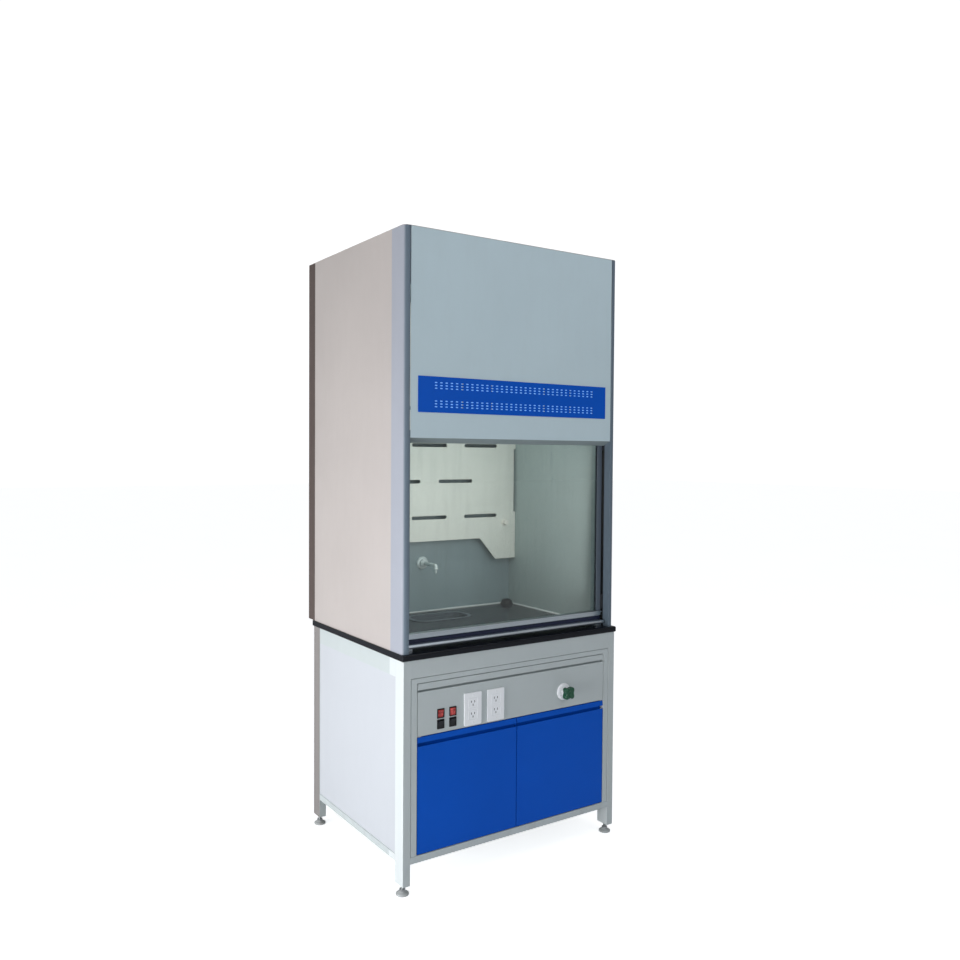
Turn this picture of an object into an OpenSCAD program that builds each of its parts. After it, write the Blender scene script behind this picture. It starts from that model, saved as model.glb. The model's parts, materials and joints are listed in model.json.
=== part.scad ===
// Laboratory fume hood on a steel base cabinet: vertical sash with counterweight,
// baffle and exhaust collar above, sink, services and two cupboard doors below.
// Millimetres. +Z is up, -Y is the front, and the origin is on the floor under the middle
// of the whole envelope.

/* [Overall] */
// Width of the hood and of the base frame
hood_w = 1000; // [900:10:1400]
// Depth of the hood from fascia to rear panel
hood_d = 850; // [800:10:1020]
// Height of the hood's top above the floor
hood_top = 2385; // [2300:5:2800]
// Height of the worktop's upper face
worktop_z = 870; // [800:5:950]

/* [Hood shell] */
// Width of a corner post across the front
post_w = 25; // [22:1:40]
// Depth of a front post
post_d = 92; // [85:1:110]
// Depth of a rear post
rear_post_d = 80; // [60:1:90]
// Radius of the outer corner of a post
post_r = 20; // [5:1:20]
// Wall of a post
post_wall = 2; // [1.5:0.5:3]
// Sheet thickness of the casing
skin_t = 1.5; // [1:0.5:3]
// Distance that the rear panel sits in from the back
rear_inset = 3; // [2.5:0.5:6]
// Inner radius of the exhaust collar
collar_bore_r = 122; // [95:1:140]
// Wall of the exhaust collar
collar_wall = 3; // [2:0.5:5]
// Height of the collar above the top panel
collar_h = 80; // [50:5:120]
// Distance of the collar's axis behind the hood's front
collar_y = 525; // [480:5:540]

/* [Fascia] */
// Height of the fascia's lower edge
fascia_z = 1640; // [1600:5:1700]
// Gap between the slanted lip under the fascia and the sash's shoes
lip_gap = 0.5; // [0.5:0.5:18]
// Drop of the slanted lip
lip_drop = 18; // [5:1:25]
// Width of the vent strip
vent_w = 885; // [820:5:890]
// Height of the vent strip
vent_h = 129; // [110:1:150]
// Height of the vent strip's middle above the fascia's lower edge
vent_rise = 156; // [120:1:200]
// Number of slot columns in the vent strip
vent_columns = 34; // [10:2:36]
// Spacing of the slot columns
vent_pitch = 22.3; // [18:0.1:24]
// Width of one vent slot
vent_slot_w = 11; // [8:1:14]
// Height of one vent slot
vent_slot_h = 4; // [2:0.5:5]

/* [Chamber] */
// Thickness of the chamber liners
liner_t = 5; // [3:1:6]
// Height of the chamber's ceiling
ceiling_z = 2200; // [2100:5:2250]
// Distance of the baffle's face behind the hood's front
baffle_y = 660; // [620:5:680]
// Thickness of the baffle
baffle_t = 5; // [3:1:8]
// Depth of the plenum between the baffle and the back liner
plenum_d = 45; // [30:1:60]
// Height of the baffle's feet above the worktop
baffle_gap = 222; // [150:5:260]
// Height of the opening between the baffle's feet
mouth_h = 101; // [60:1:140]
// Width of one foot of the baffle
foot_w = 112; // [80:1:160]
// Length of a baffle slot
slot_w = 181; // [120:1:220]
// Height of a baffle slot
slot_h = 16; // [8:1:24]
// Spacing of the slots along a row
slot_pitch = 275; // [250:5:320]
// Spacing of the slot rows
row_pitch = 162; // [120:1:180]

/* [Sash] */
// Distance of the sash's middle plane behind the hood's front
sash_y = 55; // [54:1:60]
// Height of the closed sash above the worktop
sash_lift = 41; // [38:1:60]
// Height of the sash
sash_h = 757; // [740:1:780]
// Travel of the sash
sash_travel = 600; // [300:10:600]
// Thickness of the glass
glass_t = 6; // [4:1:8]
// Height of the sash's bottom rail
rail_h = 21; // [18:1:40]
// Depth of the sash's bottom rail
rail_d = 24; // [18:1:24]
// Width of a sash stile
stile_w = 23; // [18:1:30]
// Pitch radius of the cable pulleys
pulley_r = 30; // [24:1:34]
// Radius of the sash cable
cable_r = 1.5; // [1:0.25:2]

/* [Worktop and sink] */
// Thickness of the worktop
worktop_t = 22; // [16:1:30]
// Depth of the worktop, front to back, under a hood 850 mm deep
worktop_d = 795; // [760:5:830]
// Distance that the worktop's front edge stands proud of the hood
worktop_lead = 12; // [8:1:20]
// Distance that the worktop stands out at each side
worktop_out = 5; // [0:1:15]
// Length of the sink's rim
sink_w = 288; // [240:2:340]
// Width of the sink's rim, front to back
sink_d = 160; // [130:2:200]
// Depth of the sink
sink_h = 150; // [100:5:180]
// Sideways place of the sink and of the water outlet
sink_x = -8; // [-100:1:60]
// Length of the water outlet
spout_l = 120; // [80:5:160]

/* [Base] */
// Width of a leg across the front
leg_w = 30; // [25:1:45]
// Depth of a leg
leg_d = 60; // [50:1:70]
// Wall of the legs and rails
tube_t = 2; // [1.5:0.5:3]
// Height of the top rails
top_rail_h = 65; // [40:1:80]
// Height of the bottom rails
low_rail_h = 25; // [20:1:40]
// Height of the bottom rails' lower face
low_rail_z = 115; // [100:1:140]
// Height of the levelling feet
foot_h = 38; // [35:1:60]
// Depth of the base frame, front to back, under a hood 850 mm deep
base_d = 785; // [750:5:800]
// Distance that the base's front stands proud of the hood
base_lead = 7; // [2:1:10]
// Width of the face frame beside the doors
face_w = 26; // [20:1:40]
// Height of the face frame above the service panel
face_top_h = 20; // [15:1:40]
// Thickness of the doors and of the service panel
door_t = 20; // [18:1:26]
// Height of the doors' upper edge
door_top = 567; // [550:1:600]
// Height of the finger slot in a door
door_slot = 13; // [10:1:16]
// Height of the strip above the finger slot
door_strip = 20; // [18:1:26]
// Gap round the doors
door_gap = 3; // [2:0.5:4]

/* [Services] */
// Sideways place of the water valve
valve_x = 230; // [150:5:300]
// Height of the valve and of the sockets
service_z = 637; // [635:1:645]
// Radius of the valve's rosette
rosette_r = 33; // [25:1:38]
// Thickness of the valve knob
knob_t = 25; // [18:1:30]
// Sideways places of the two socket plates
socket_x = [-207, -103];
// Sideways places of the two switch columns
switch_x = [-345, -293];
// Heights of the two switch rows
switch_z = [602, 641];
// Width of a socket plate
plate_w = 76; // [60:1:80]
// Height of a socket plate
plate_h = 122; // [100:1:122]

/* [Hidden] */
$fn = 48;

// Clearances
pin_fit = 0.05;
slide_fit = 0.5;
seat_fit = 0.5;
eps = 0.1;

// Water valve stack, from the panel's face outwards
panel_inset = 1;
rosette_t = 8;
hub_l = 12;
knob_gap = 1;
knob_reach = rosette_t + hub_l + knob_gap + knob_t - panel_inset;

// Distances of the moving gear from the frame around it
cable_in = 16;
shaft_drop = 65;
track_drop = 20;
weight_back = 784;
weight_hang = 85;
shaft_run = 12;

// Front-to-back places
front_reach = base_lead + knob_reach;
// The baffle and everything at the back move with a hood that is deeper or shallower than this
nominal_d = 850;
extra_d = hood_d - nominal_d;
yf = (front_reach - hood_d) / 2;
yr = yf + hood_d;
base_y = yf - base_lead;
base_back = base_y + base_d + extra_d;
worktop_y = yf - worktop_lead;
worktop_back = worktop_y + worktop_d + extra_d;
panel_y = base_y + panel_inset;
sash_plane = yf + sash_y;
baffle_front = yf + baffle_y + extra_d;
back_liner_y = baffle_front + baffle_t + plenum_d;
back_liner_back = back_liner_y + liner_t;
service_run_y = back_liner_back + shaft_run;

// Sideways places, all to one side of the middle
half_w = hood_w / 2;
inner_x = half_w - post_w;
leg_x = half_w - leg_w;
face_x = leg_x - face_w;
cable_x = inner_x - cable_in;

// Heights
worktop_under = worktop_z - worktop_t;
shell_top = hood_top - skin_t;
top_rail_z = worktop_under - top_rail_h;
cabinet_z = low_rail_z + low_rail_h;
panel_z = door_top + 4;
panel_top = top_rail_z - face_top_h - door_gap;
sash_z = worktop_z + sash_lift;
sash_top = sash_z + sash_h;
pulley_z = hood_top - shaft_drop;

// Sash grooves and tracks
groove_w = 36;
groove_deep = 12;
track_wall = 2;
shoe_half = groove_w / 2 - track_wall - slide_fit;
track_top = pulley_z - track_drop;
top_rail_t = 20;
stile_t = 16;
glass_bite = 8;
glass_fit = 0.2;
clip_r = 5;
clip_h = 10;
sash_half = inner_x - 5;
pull_d = 6;
pull_t = 5;
top_rail_half = 10;
shoe_h = 60;
shoe_low = 29;
shoe_high = 68;

// Pulleys and counterweight
shaft_r = 6;
pulley_w = 10;
pulley_rim = 4;
groove_fit = 0.3;
front_pulley_y = sash_plane + pulley_r;
weight_y = yf + weight_back + extra_d;
rear_pulley_y = weight_y - pulley_r;
weight_t = 40;
weight_h = 60;
weight_top = pulley_z - weight_hang;
guide_t = 2;
weight_end_x = inner_x - 2 * guide_t;
guide_w = 16;
guide_spare = 25;
bracket_t = 4;
wheel_fit = 2;
bracket_half = 17;
bracket_x = cable_x + pulley_w / 2 + wheel_fit;

// Services inside the base
pipe_r = 6;
conduit_r = 8;
conduit_x = -300;
trap_r = 32;
drain_r = 20;
drain_wall = 3;
drain_z = 600;
sink_back = 560;
sink_y = yf + sink_back + extra_d;
sink_corner = 60;
sink_rim = 12;
sink_rim_t = 3;
sink_wall = 4;
sink_under = worktop_z - sink_h;
drain_out = 22;
drain_end_y = base_back + drain_out;
inlet_r = 10.5;
inlet_out = 20;
inlet_end_y = base_back + inlet_out;
port_in = 35;
port_back = 676;
port_x = inner_x - port_in;
port_y = yf + port_back + extra_d;
port_r = 30;
port_neck_r = 20;

// ---------------------------------------------------------------- helpers

// A block between two X, two Y and two Z values
module slab(x, y, z) {
  translate([x[0], y[0], z[0]])
    cube([x[1] - x[0], y[1] - y[0], z[1] - z[0]]);
}

// The children and their mirror image across the middle plane
module both_sides() {
  for (side = [0, 1])
    mirror([side, 0, 0])
      children();
}

// A profile drawn in Y and Z, extruded along X and centred on X = 0
module along_x(length) {
  translate([-length / 2, 0, 0])
    rotate([90, 0, 90])
      linear_extrude(length)
        children();
}

// A profile drawn in X and Z, extruded along Y from y0
module along_y(y0, length) {
  translate([0, y0 + length, 0])
    rotate([90, 0, 0])
      linear_extrude(length)
        children();
}

// A centred rectangle with round corners
module round_rect(w, h, r) {
  square([w - 2 * r, h], center = true);
  square([w, h - 2 * r], center = true);
  for (x = [-1, 1], y = [-1, 1])
    translate([x * (w / 2 - r), y * (h / 2 - r)])
      circle(r);
}

// A slot with round ends, lying along X
module obround(w, h) {
  square([w - h, h], center = true);
  for (side = [-1, 1])
    translate([side * (w - h) / 2, 0])
      circle(h / 2);
}

// A round bar through a list of points, with ball corners
module pipe_run(points, r) {
  for (i = [0 : len(points) - 2])
    let (step = points[i + 1] - points[i], length = norm(step))
      translate(points[i])
        rotate([0, acos(step.z / length), atan2(step.y, step.x)])
          cylinder(h = length, r = r);
  if (len(points) > 2)
    for (i = [1 : len(points) - 2])
      translate(points[i])
        sphere(r);
}

// A cylinder along Y from y0
module rod_y(x, y0, z, length, r) {
  translate([x, y0, z])
    rotate([-90, 0, 0])
      cylinder(h = length, r = r);
}

// A cylinder along X, centred on x
module rod_x(x, y, z, length, r) {
  translate([x - length / 2, y, z])
    rotate([0, 90, 0])
      cylinder(h = length, r = r);
}

// A rectangular tube, open at both ends; along is [1, 0, 0] for X or [0, 1, 0] for Y
module tube(x, y, z, along) {
  wall = [for (i = [0 : 2]) along[i] == 1 ? -1 : tube_t];
  difference() {
    slab(x, y, z);
    slab([x[0] + wall.x, x[1] - wall.x], [y[0] + wall.y, y[1] - wall.y],
         [z[0] + wall.z, z[1] - wall.z]);
  }
}

// ---------------------------------------------------------------- base frame

// Four rectangular legs with a threaded plate in each foot end
module base_legs() {
  color("gainsboro")
    both_sides()
      for (y = [base_y, base_back - leg_d])
        difference() {
          slab([-half_w, -leg_x], [y, y + leg_d], [foot_h, worktop_under]);
          slab([-half_w + tube_t, -leg_x - tube_t], [y + tube_t, y + leg_d - tube_t],
                [foot_h + leg_plate_t, worktop_under + 1]);
          translate([-half_w + leg_w / 2, y + leg_d / 2, foot_h - 1])
            cylinder(h = leg_plate_t + 2, r = foot_stud_r + slide_fit);
        }
}

leg_plate_t = 8;
foot_stud_r = 6;
foot_stud_in = 25;
foot_pad_r = 24;
foot_pad_h = 14;

// Deep rails under the worktop and slim rails at the bottom
module base_rails() {
  color("gainsboro") {
    for (z = [[top_rail_z, worktop_under], [low_rail_z, cabinet_z]]) {
      for (y = [base_y, base_back - leg_w])
        tube([-leg_x, leg_x], [y, y + leg_w], z, [1, 0, 0]);
      both_sides()
        tube([-half_w, -leg_x], [base_y + leg_d, base_back - leg_d], z, [0, 1, 0]);
    }
  }
}

panel_recess = 2;
rear_setback = 4;

// Side sheets set a little in from the legs, and a rear sheet with three service holes
module base_panels() {
  color("whitesmoke") {
    both_sides()
      slab([-half_w + panel_recess, -half_w + panel_recess + skin_t],
           [base_y + leg_d, base_back - leg_d], [cabinet_z, top_rail_z]);
    difference() {
      slab([-leg_x, leg_x], [base_back - rear_setback, base_back - rear_setback + skin_t],
           [cabinet_z, top_rail_z]);
      rod_y(sink_x, base_back - 2 * rear_setback, drain_z, 4 * rear_setback, drain_r + seat_fit);
      rod_y(valve_x, base_back - 2 * rear_setback, drain_z, 4 * rear_setback, inlet_r + seat_fit);
      rod_y(gland_x, base_back - 2 * rear_setback, drain_z, 4 * rear_setback, gland_r + seat_fit);
    }
  }
}

gland_x = -360;
gland_r = 10;
gland_l = 24;

// Inner side sheets and floor of the cupboard
module cabinet_carcass() {
  color("lightgray") {
    slab([-leg_x, leg_x], [base_y + leg_w, base_back - rear_setback],
         [cabinet_z, cabinet_z + skin_t]);
    both_sides()
      slab([-face_x - skin_t, -face_x], [panel_y + door_t, base_back - rear_setback],
           [cabinet_z + skin_t, top_rail_z]);
  }
}

// Shadow gap round the face frame, where it meets the legs and the top rail
shadow_w = 2;
shadow_d = 6;

// Stiles beside the doors, a rail above the panel and a rail behind the door tops
module cabinet_face_frame() {
  color("lightgray") {
    difference() {
      union() {
        both_sides()
          slab([-leg_x, -face_x], [panel_y, panel_y + door_t], [cabinet_z, top_rail_z]);
        slab([-face_x, face_x], [panel_y, panel_y + door_t],
             [top_rail_z - face_top_h, top_rail_z]);
      }
      both_sides()
        slab([-leg_x - 1, -leg_x + shadow_w], [panel_y - 1, panel_y + shadow_d],
             [cabinet_z - 1, top_rail_z + 1]);
      slab([-leg_x, leg_x], [panel_y - 1, panel_y + shadow_d], [top_rail_z - shadow_w, top_rail_z + 1]);
    }
    slab([-face_x, face_x], [panel_y + door_t + swing_fit, mid_rail_back],
         [mid_rail_z, mid_rail_z + mid_rail_h]);
  }
}

// The doors' hinge edges swing back past their closed place by a little less than swing_fit
swing_fit = 3;
mid_rail_h = 16;
mid_rail_back = panel_y + door_t + 15;
mid_rail_z = door_top - mid_rail_h + 1;

// A pressed panel with a finger slot: the outline in Y and Z, lower edge at z = 0
module finger_profile(h, slot, strip) {
  lip = h - strip - slot;
  difference() {
    polygon([[0, 0], [0, h - strip], [strip_lean, h], [door_t, h], [door_t, 0]]);
    translate([-1, lip])
      square([finger_d + 1, slot]);
    translate([lip_t, lip - finger_drop])
      square([finger_d - lip_t, finger_drop + 1]);
  }
}

strip_lean = 2;
finger_d = 17;
finger_drop = 20;
lip_t = 3;

// The pressed panel, open at the back, left edge at x = 0
module finger_pan(w, h, slot, strip) {
  lip = h - strip - slot;
  difference() {
    translate([w / 2, 0, 0])
      along_x(w)
        finger_profile(h, slot, strip);
    slab([skin_t, w - skin_t], [skin_t, door_t + 1], [skin_t, lip - finger_drop - skin_t]);
    slab([skin_t, w - skin_t], [strip_lean + skin_t, door_t + 1],
         [lip + slot + skin_t, h - skin_t]);
  }
}

switch_body = [28, 32];
switch_bezel = [31, 35];
socket_body = [56, 96];

// Grey panel above the doors that carries switches, sockets and valve
module service_panel() {
  h = panel_top - panel_z;
  w = 2 * (face_x - door_gap);
  color("lightgray")
    translate([0, panel_y, panel_z])
      difference() {
        translate([-w / 2, 0, 0])
          finger_pan(w, h, 8, 22);
        for (x = switch_x, z = switch_z)
          slab([x - switch_body.x / 2, x + switch_body.x / 2], [-1, skin_t + 1],
               [z - panel_z - switch_body.y / 2, z - panel_z + switch_body.y / 2]);
        for (x = socket_x)
          slab([x - socket_body.x / 2, x + socket_body.x / 2], [-1, skin_t + 1],
               [service_z - panel_z - socket_body.y / 2, service_z - panel_z + socket_body.y / 2]);
        rod_y(valve_x, -1, service_z - panel_z, skin_t + 2, valve_neck_r + seat_fit);
      }
}

box_d = 70;
box_x = [-385, -50];
box_h = 145;

// Steel box round the backs of the switches and sockets
module electrical_box() {
  y0 = panel_y + door_t + slide_fit;
  z0 = mid_rail_z + mid_rail_h;
  color("silver")
    difference() {
      slab(box_x, [y0, y0 + box_d], [z0, z0 + box_h]);
      slab([box_x[0] + skin_t, box_x[1] - skin_t], [y0 - 1, y0 + box_d - skin_t],
           [z0 + skin_t, z0 + box_h - skin_t]);
      rod_y(conduit_x, y0 + box_d - 5, service_z, 10, conduit_r + slide_fit);
      rod_y(gland_x, y0 + box_d - 5, drain_z, 10, conduit_r + slide_fit);
    }
}

// ---------------------------------------------------------------- worktop and water

edge_r = 5;

// Black slab with a round front edge, a sink cut-out and holes for the services
module worktop() {
  cut = 2 * (sink_rim - 1);
  x = [-half_w - worktop_out, half_w + worktop_out];
  color("black")
    difference() {
      union() {
        slab(x, [worktop_y + edge_r, worktop_back], [worktop_under, worktop_z]);
        slab(x, [worktop_y, worktop_y + 2 * edge_r], [worktop_under + edge_r, worktop_z - edge_r]);
        for (z = [worktop_under + edge_r, worktop_z - edge_r])
          rod_x(0, worktop_y + edge_r, z, x[1] - x[0], edge_r);
      }
      translate([sink_x, sink_y, worktop_under - 1])
        linear_extrude(worktop_t + 2)
          round_rect(sink_w - cut, sink_d - cut, sink_corner - sink_rim + 1);
      translate([sink_x, service_run_y, worktop_under - 1])
        cylinder(h = worktop_t + 2, r = pipe_r + 2);
      translate([conduit_x, service_run_y, worktop_under - 1])
        cylinder(h = worktop_t + 2, r = conduit_r + 2);
      translate([port_x, port_y, worktop_under - 1])
        cylinder(h = worktop_t + 2, r = port_neck_r + seat_fit);
    }
}

// Moulded sink with a rim that lies on the worktop and a drain neck
module cup_sink() {
  w = sink_w - 2 * sink_rim;
  d = sink_d - 2 * sink_rim;
  r = sink_corner - sink_rim;
  color("dimgray")
    translate([sink_x, sink_y, 0])
      difference() {
        union() {
          translate([0, 0, worktop_z])
            linear_extrude(sink_rim_t)
              round_rect(sink_w, sink_d, sink_corner);
          translate([0, 0, sink_under])
            linear_extrude(sink_h + 1)
              round_rect(w, d, r);
          translate([0, 0, sink_under - neck_l])
            cylinder(h = neck_l + 1, r = drain_r + 2);
        }
        translate([0, 0, sink_under + sink_wall])
          linear_extrude(sink_h)
            round_rect(w - 2 * sink_wall, d - 2 * sink_wall, r - sink_wall);
        translate([0, 0, sink_under - neck_l - 1])
          cylinder(h = neck_l + sink_wall + 2, r = drain_r - drain_wall);
      }
}

neck_l = 30;
trap_base = 545;
tail_l = 30;

// Bottle trap below the sink, with a waste pipe out of the back
module sink_trap() {
  top = sink_under - neck_l;
  bore = drain_r - drain_wall;
  color("gray")
    difference() {
      union() {
        translate([sink_x, sink_y, trap_base])
          cylinder(h = top - tail_l - trap_base, r = trap_r);
        translate([sink_x, sink_y, top - tail_l - 1])
          cylinder(h = tail_l + 1, r = drain_r);
        rod_y(sink_x, sink_y, drain_z, base_back + 1 - sink_y, drain_r - drain_wall / 2);
        rod_y(sink_x, base_back, drain_z, drain_end_y - base_back, drain_r);
      }
      translate([sink_x, sink_y, trap_base + drain_wall])
        cylinder(h = top - tail_l - trap_base - 2 * drain_wall, r = trap_r - drain_wall);
      translate([sink_x, sink_y, top - tail_l - 10])
        cylinder(h = tail_l + 11, r = bore);
      rod_y(sink_x, sink_y, drain_z, drain_end_y - sink_y + 1, bore);
    }
}

faucet_z = 1092;
faucet_r = 9;
faucet_rosette_r = 29;
faucet_nut_r = 18;
faucet_rosette_t = 10;
faucet_nut_t = 24;
faucet_drop = 18;
tooth_count = 3;
tooth_h = 6;
tooth_r = 6.5;
nozzle_bore_r = 2.5;

// Wall outlet above the sink: rosette, level arm and hose nozzle
module faucet() {
  tip_y = back_liner_y - spout_l;
  color("lightsteelblue")
    translate([sink_x, 0, faucet_z])
      difference() {
        union() {
          rod_y(0, back_liner_y - faucet_rosette_t, 0, faucet_rosette_t, faucet_rosette_r);
          rod_y(0, back_liner_y - faucet_nut_t, 0, faucet_nut_t - 1, faucet_nut_r);
          rod_y(0, tip_y, 0, spout_l - faucet_rosette_t, faucet_r);
          translate([0, tip_y, 0])
            sphere(faucet_r + 2);
          translate([0, tip_y, -faucet_drop])
            cylinder(h = faucet_drop, r = faucet_r);
          for (i = [0 : tooth_count - 1])
            translate([0, tip_y, 3 - faucet_drop - tooth_h * (i + 1)])
              cylinder(h = tooth_h, r1 = tooth_r - 2, r2 = tooth_r);
        }
        translate([0, tip_y, 2 - faucet_drop - tooth_h * tooth_count])
          cylinder(h = tooth_h * tooth_count + 10, r = nozzle_bore_r);
      }
}

valve_neck_r = 14;
valve_l = 60;
valve_leg_y = 40;
valve_leg_h = 30;
valve_leg_r = 10;
spindle_r = 4;
spindle_l = 24;

// Valve behind the panel with its rosette and bonnet in front
module water_valve() {
  color("whitesmoke")
    difference() {
      union() {
        rod_y(valve_x, panel_y - rosette_t, service_z, rosette_t, rosette_r);
        rod_y(valve_x, panel_y - rosette_t - hub_l, service_z, hub_l + 1, valve_neck_r + 2);
        rod_y(valve_x, panel_y - 1, service_z, valve_l, valve_neck_r);
        translate([valve_x, panel_y + valve_leg_y, service_z - valve_leg_h])
          cylinder(h = valve_leg_h, r = valve_leg_r);
      }
      rod_y(valve_x, panel_y - rosette_t - hub_l - 1, service_z, spindle_l + 2, spindle_r + pin_fit);
    }
}

// Feed from the rear inlet to the valve, and from the valve to the outlet
module water_pipes() {
  y_in = panel_y + valve_leg_y;
  y_out = panel_y + valve_l - 1;
  color("darkgoldenrod") {
    pipe_run([[valve_x, y_in, service_z - valve_leg_h], [valve_x, y_in, drain_z],
              [valve_x, base_back + 1, drain_z]], pipe_r - 1);
    rod_y(valve_x, base_back, drain_z, inlet_end_y - base_back, inlet_r);
    pipe_run([[valve_x, y_out, service_z], [valve_x, service_run_y, service_z],
              [sink_x, service_run_y, service_z], [sink_x, service_run_y, faucet_z],
              [sink_x, back_liner_y, faucet_z]], pipe_r - 1);
  }
}

port_rim_h = 6;
port_dome_h = 14;
port_crown_h = 5;
port_tail = 4;

// Black cap over a cable hole in the corner of the worktop
module cable_port() {
  color("black")
    translate([port_x, port_y, 0]) {
      translate([0, 0, worktop_z])
        cylinder(h = port_rim_h, r = port_r);
      translate([0, 0, worktop_z + port_rim_h])
        cylinder(h = port_dome_h, r1 = port_r - 4, r2 = port_r - 7);
      translate([0, 0, worktop_z + port_rim_h + port_dome_h])
        cylinder(h = port_crown_h, r1 = port_r - 8, r2 = port_r - 14);
      translate([0, 0, worktop_under - port_tail])
        cylinder(h = worktop_t + port_tail, r = port_neck_r);
    }
}

lamp_y = [110, 230];
lamp_half = 320;
lamp_h = 65;
lamp_entry = 35;
lamp_wall = 2;
lamp_tube_r = 13;
holder_l = 10;
holder_half = 15;

// Conduit from the electrical box up the rear shaft to the lamp, and the mains gland
module wiring_conduit() {
  y_box = panel_y + door_t + slide_fit + box_d - skin_t;
  z_top = ceiling_z + liner_t + lamp_entry;
  color("slategray") {
    pipe_run([[conduit_x, y_box, service_z], [conduit_x, service_run_y, service_z],
              [conduit_x, service_run_y, z_top], [conduit_x, yf + lamp_y[1], z_top]], conduit_r);
    pipe_run([[gland_x, y_box, drain_z], [gland_x, base_back - gland_l / 2, drain_z]], conduit_r);
    rod_y(gland_x, base_back - gland_l / 2, drain_z, gland_l, gland_r);
  }
}

// ---------------------------------------------------------------- doors

pivot_r = 2.5;
pivot_in = 9;
pivot_back = 5.5;
pivot_x = face_x - door_gap - pivot_in;
pivot_y = panel_y + pivot_back;
door_z = cabinet_z + door_gap;
boss_h = 16;
catch_x = 15;
catch_w = 35;
catch_h = 22;

// Pivot pins with their plates, and magnetic catches under the middle rail
module door_fittings() {
  plate = [[-face_x, -pivot_x + 6], [panel_y + 1, panel_y + 14]];
  color("silver")
    both_sides() {
      slab(plate[0], plate[1], [cabinet_z, cabinet_z + 1]);
      translate([-pivot_x, pivot_y, cabinet_z])
        cylinder(h = boss_h - 1, r = pivot_r);
      slab(plate[0], plate[1], [door_top + 1.5, door_top + 3.5]);
      translate([-pivot_x, pivot_y, door_top - boss_h + 3])
        cylinder(h = boss_h, r = pivot_r);
      slab([catch_x, catch_x + catch_w], [panel_y + door_t + slide_fit, mid_rail_back],
           [mid_rail_z - catch_h, mid_rail_z]);
    }
}

// One door as its left-hand leaf: pressed pan, back skin and pivot bushes
module door_leaf() {
  h = door_top - door_z;
  w = face_x - door_gap - door_seam / 2;
  lip = h - door_strip - door_slot;
  translate([-face_x + door_gap, panel_y, door_z]) {
    difference() {
      union() {
        finger_pan(w, h, door_slot, door_strip);
        slab([eps, 2 * pivot_in], [skin_t, 12], [eps, boss_h]);
        slab([eps, 2 * pivot_in], [strip_lean + eps, 14], [h - boss_h, h - eps]);
      }
      for (z = [-1, h - boss_h - 1])
        translate([pivot_in, pivot_back, z])
          cylinder(h = boss_h + 2, r = pivot_r + pin_fit);
    }
    slab([skin_t, w - skin_t], [door_t - skin_t, door_t], [skin_t, lip - finger_drop - skin_t]);
  }
}

door_seam = 3;

module door_left() {
  color("mediumblue")
    door_leaf();
}

module door_right() {
  color("mediumblue")
    mirror([1, 0, 0])
      door_leaf();
}

// ---------------------------------------------------------------- electrical parts

rocker_w = 23;
rocker_half = 13.5;
rocker_tilt = 10;
rocker_pin_r = 1.5;
rocker_axis_y = panel_y + 3;
rocker_fit = 1.3;
switch_d = 22;
switch_wall = 2;

// Four switch bodies with square bezels
module switch_housings() {
  color("black")
    for (x = switch_x, z = switch_z)
      difference() {
        union() {
          slab([x - switch_bezel.x / 2, x + switch_bezel.x / 2], [panel_y - 2, panel_y],
               [z - switch_bezel.y / 2, z + switch_bezel.y / 2]);
          slab([x - switch_body.x / 2, x + switch_body.x / 2], [panel_y - 1, panel_y + switch_d],
               [z - switch_body.y / 2, z + switch_body.y / 2]);
        }
        slab([x - rocker_w / 2 - slide_fit, x + rocker_w / 2 + slide_fit],
             [panel_y - 3, panel_y + switch_d - switch_wall],
             [z - rocker_half - rocker_fit, z + rocker_half + rocker_fit]);
        rod_x(x, rocker_axis_y, z, rocker_w + 4, rocker_pin_r + pin_fit);
      }
}

// One rocker with its pivot pin, tilted into its on position
module rocker(x, z) {
  translate([x, rocker_axis_y, z])
    rotate([rocker_tilt, 0, 0]) {
      along_x(rocker_w)
        polygon([[-6.5, rocker_half], [-5, 0], [-6.5, -rocker_half], [3, -11], [9, -5], [9, 5], [3, 11]]);
      rod_x(0, 0, 0, rocker_w + 3.6, rocker_pin_r);
    }
}

module rocker_1() {
  color("firebrick")
    rocker(switch_x[0], switch_z[1]);
}

module rocker_2() {
  color("firebrick")
    rocker(switch_x[1], switch_z[1]);
}

module rocker_3() {
  color("black")
    rocker(switch_x[0], switch_z[0]);
}

module rocker_4() {
  color("black")
    rocker(switch_x[1], switch_z[0]);
}

plate_t = 6;
socket_deep = 26;
hole_deep = 14;
hole_half = 1.5;
outlet_z = 22;
pin_spread = 7;

// Two white plates, each with two earthed outlets and a body behind the panel
module socket_outlets() {
  color("white")
    for (x = socket_x)
      translate([x, 0, service_z])
        difference() {
          union() {
            along_y(panel_y - plate_t, plate_t)
              round_rect(plate_w, plate_h, 4);
            slab([-socket_body.x / 2, socket_body.x / 2], [panel_y - 1, panel_y + socket_deep],
                 [-socket_body.y / 2, socket_body.y / 2]);
          }
          for (z = [-outlet_z, outlet_z]) {
            for (side = [-1, 1])
              slab([side * pin_spread - hole_half, side * pin_spread + hole_half],
                   [panel_y - plate_t - 1, panel_y + hole_deep], [z + 1, z + 9]);
            slab([-hole_half, hole_half], [panel_y - plate_t - 1, panel_y + hole_deep],
                 [z - 11, z - 3]);
          }
        }
}

knob_r = 20;
lobe_r = 9;
lobe_count = 4;

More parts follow.
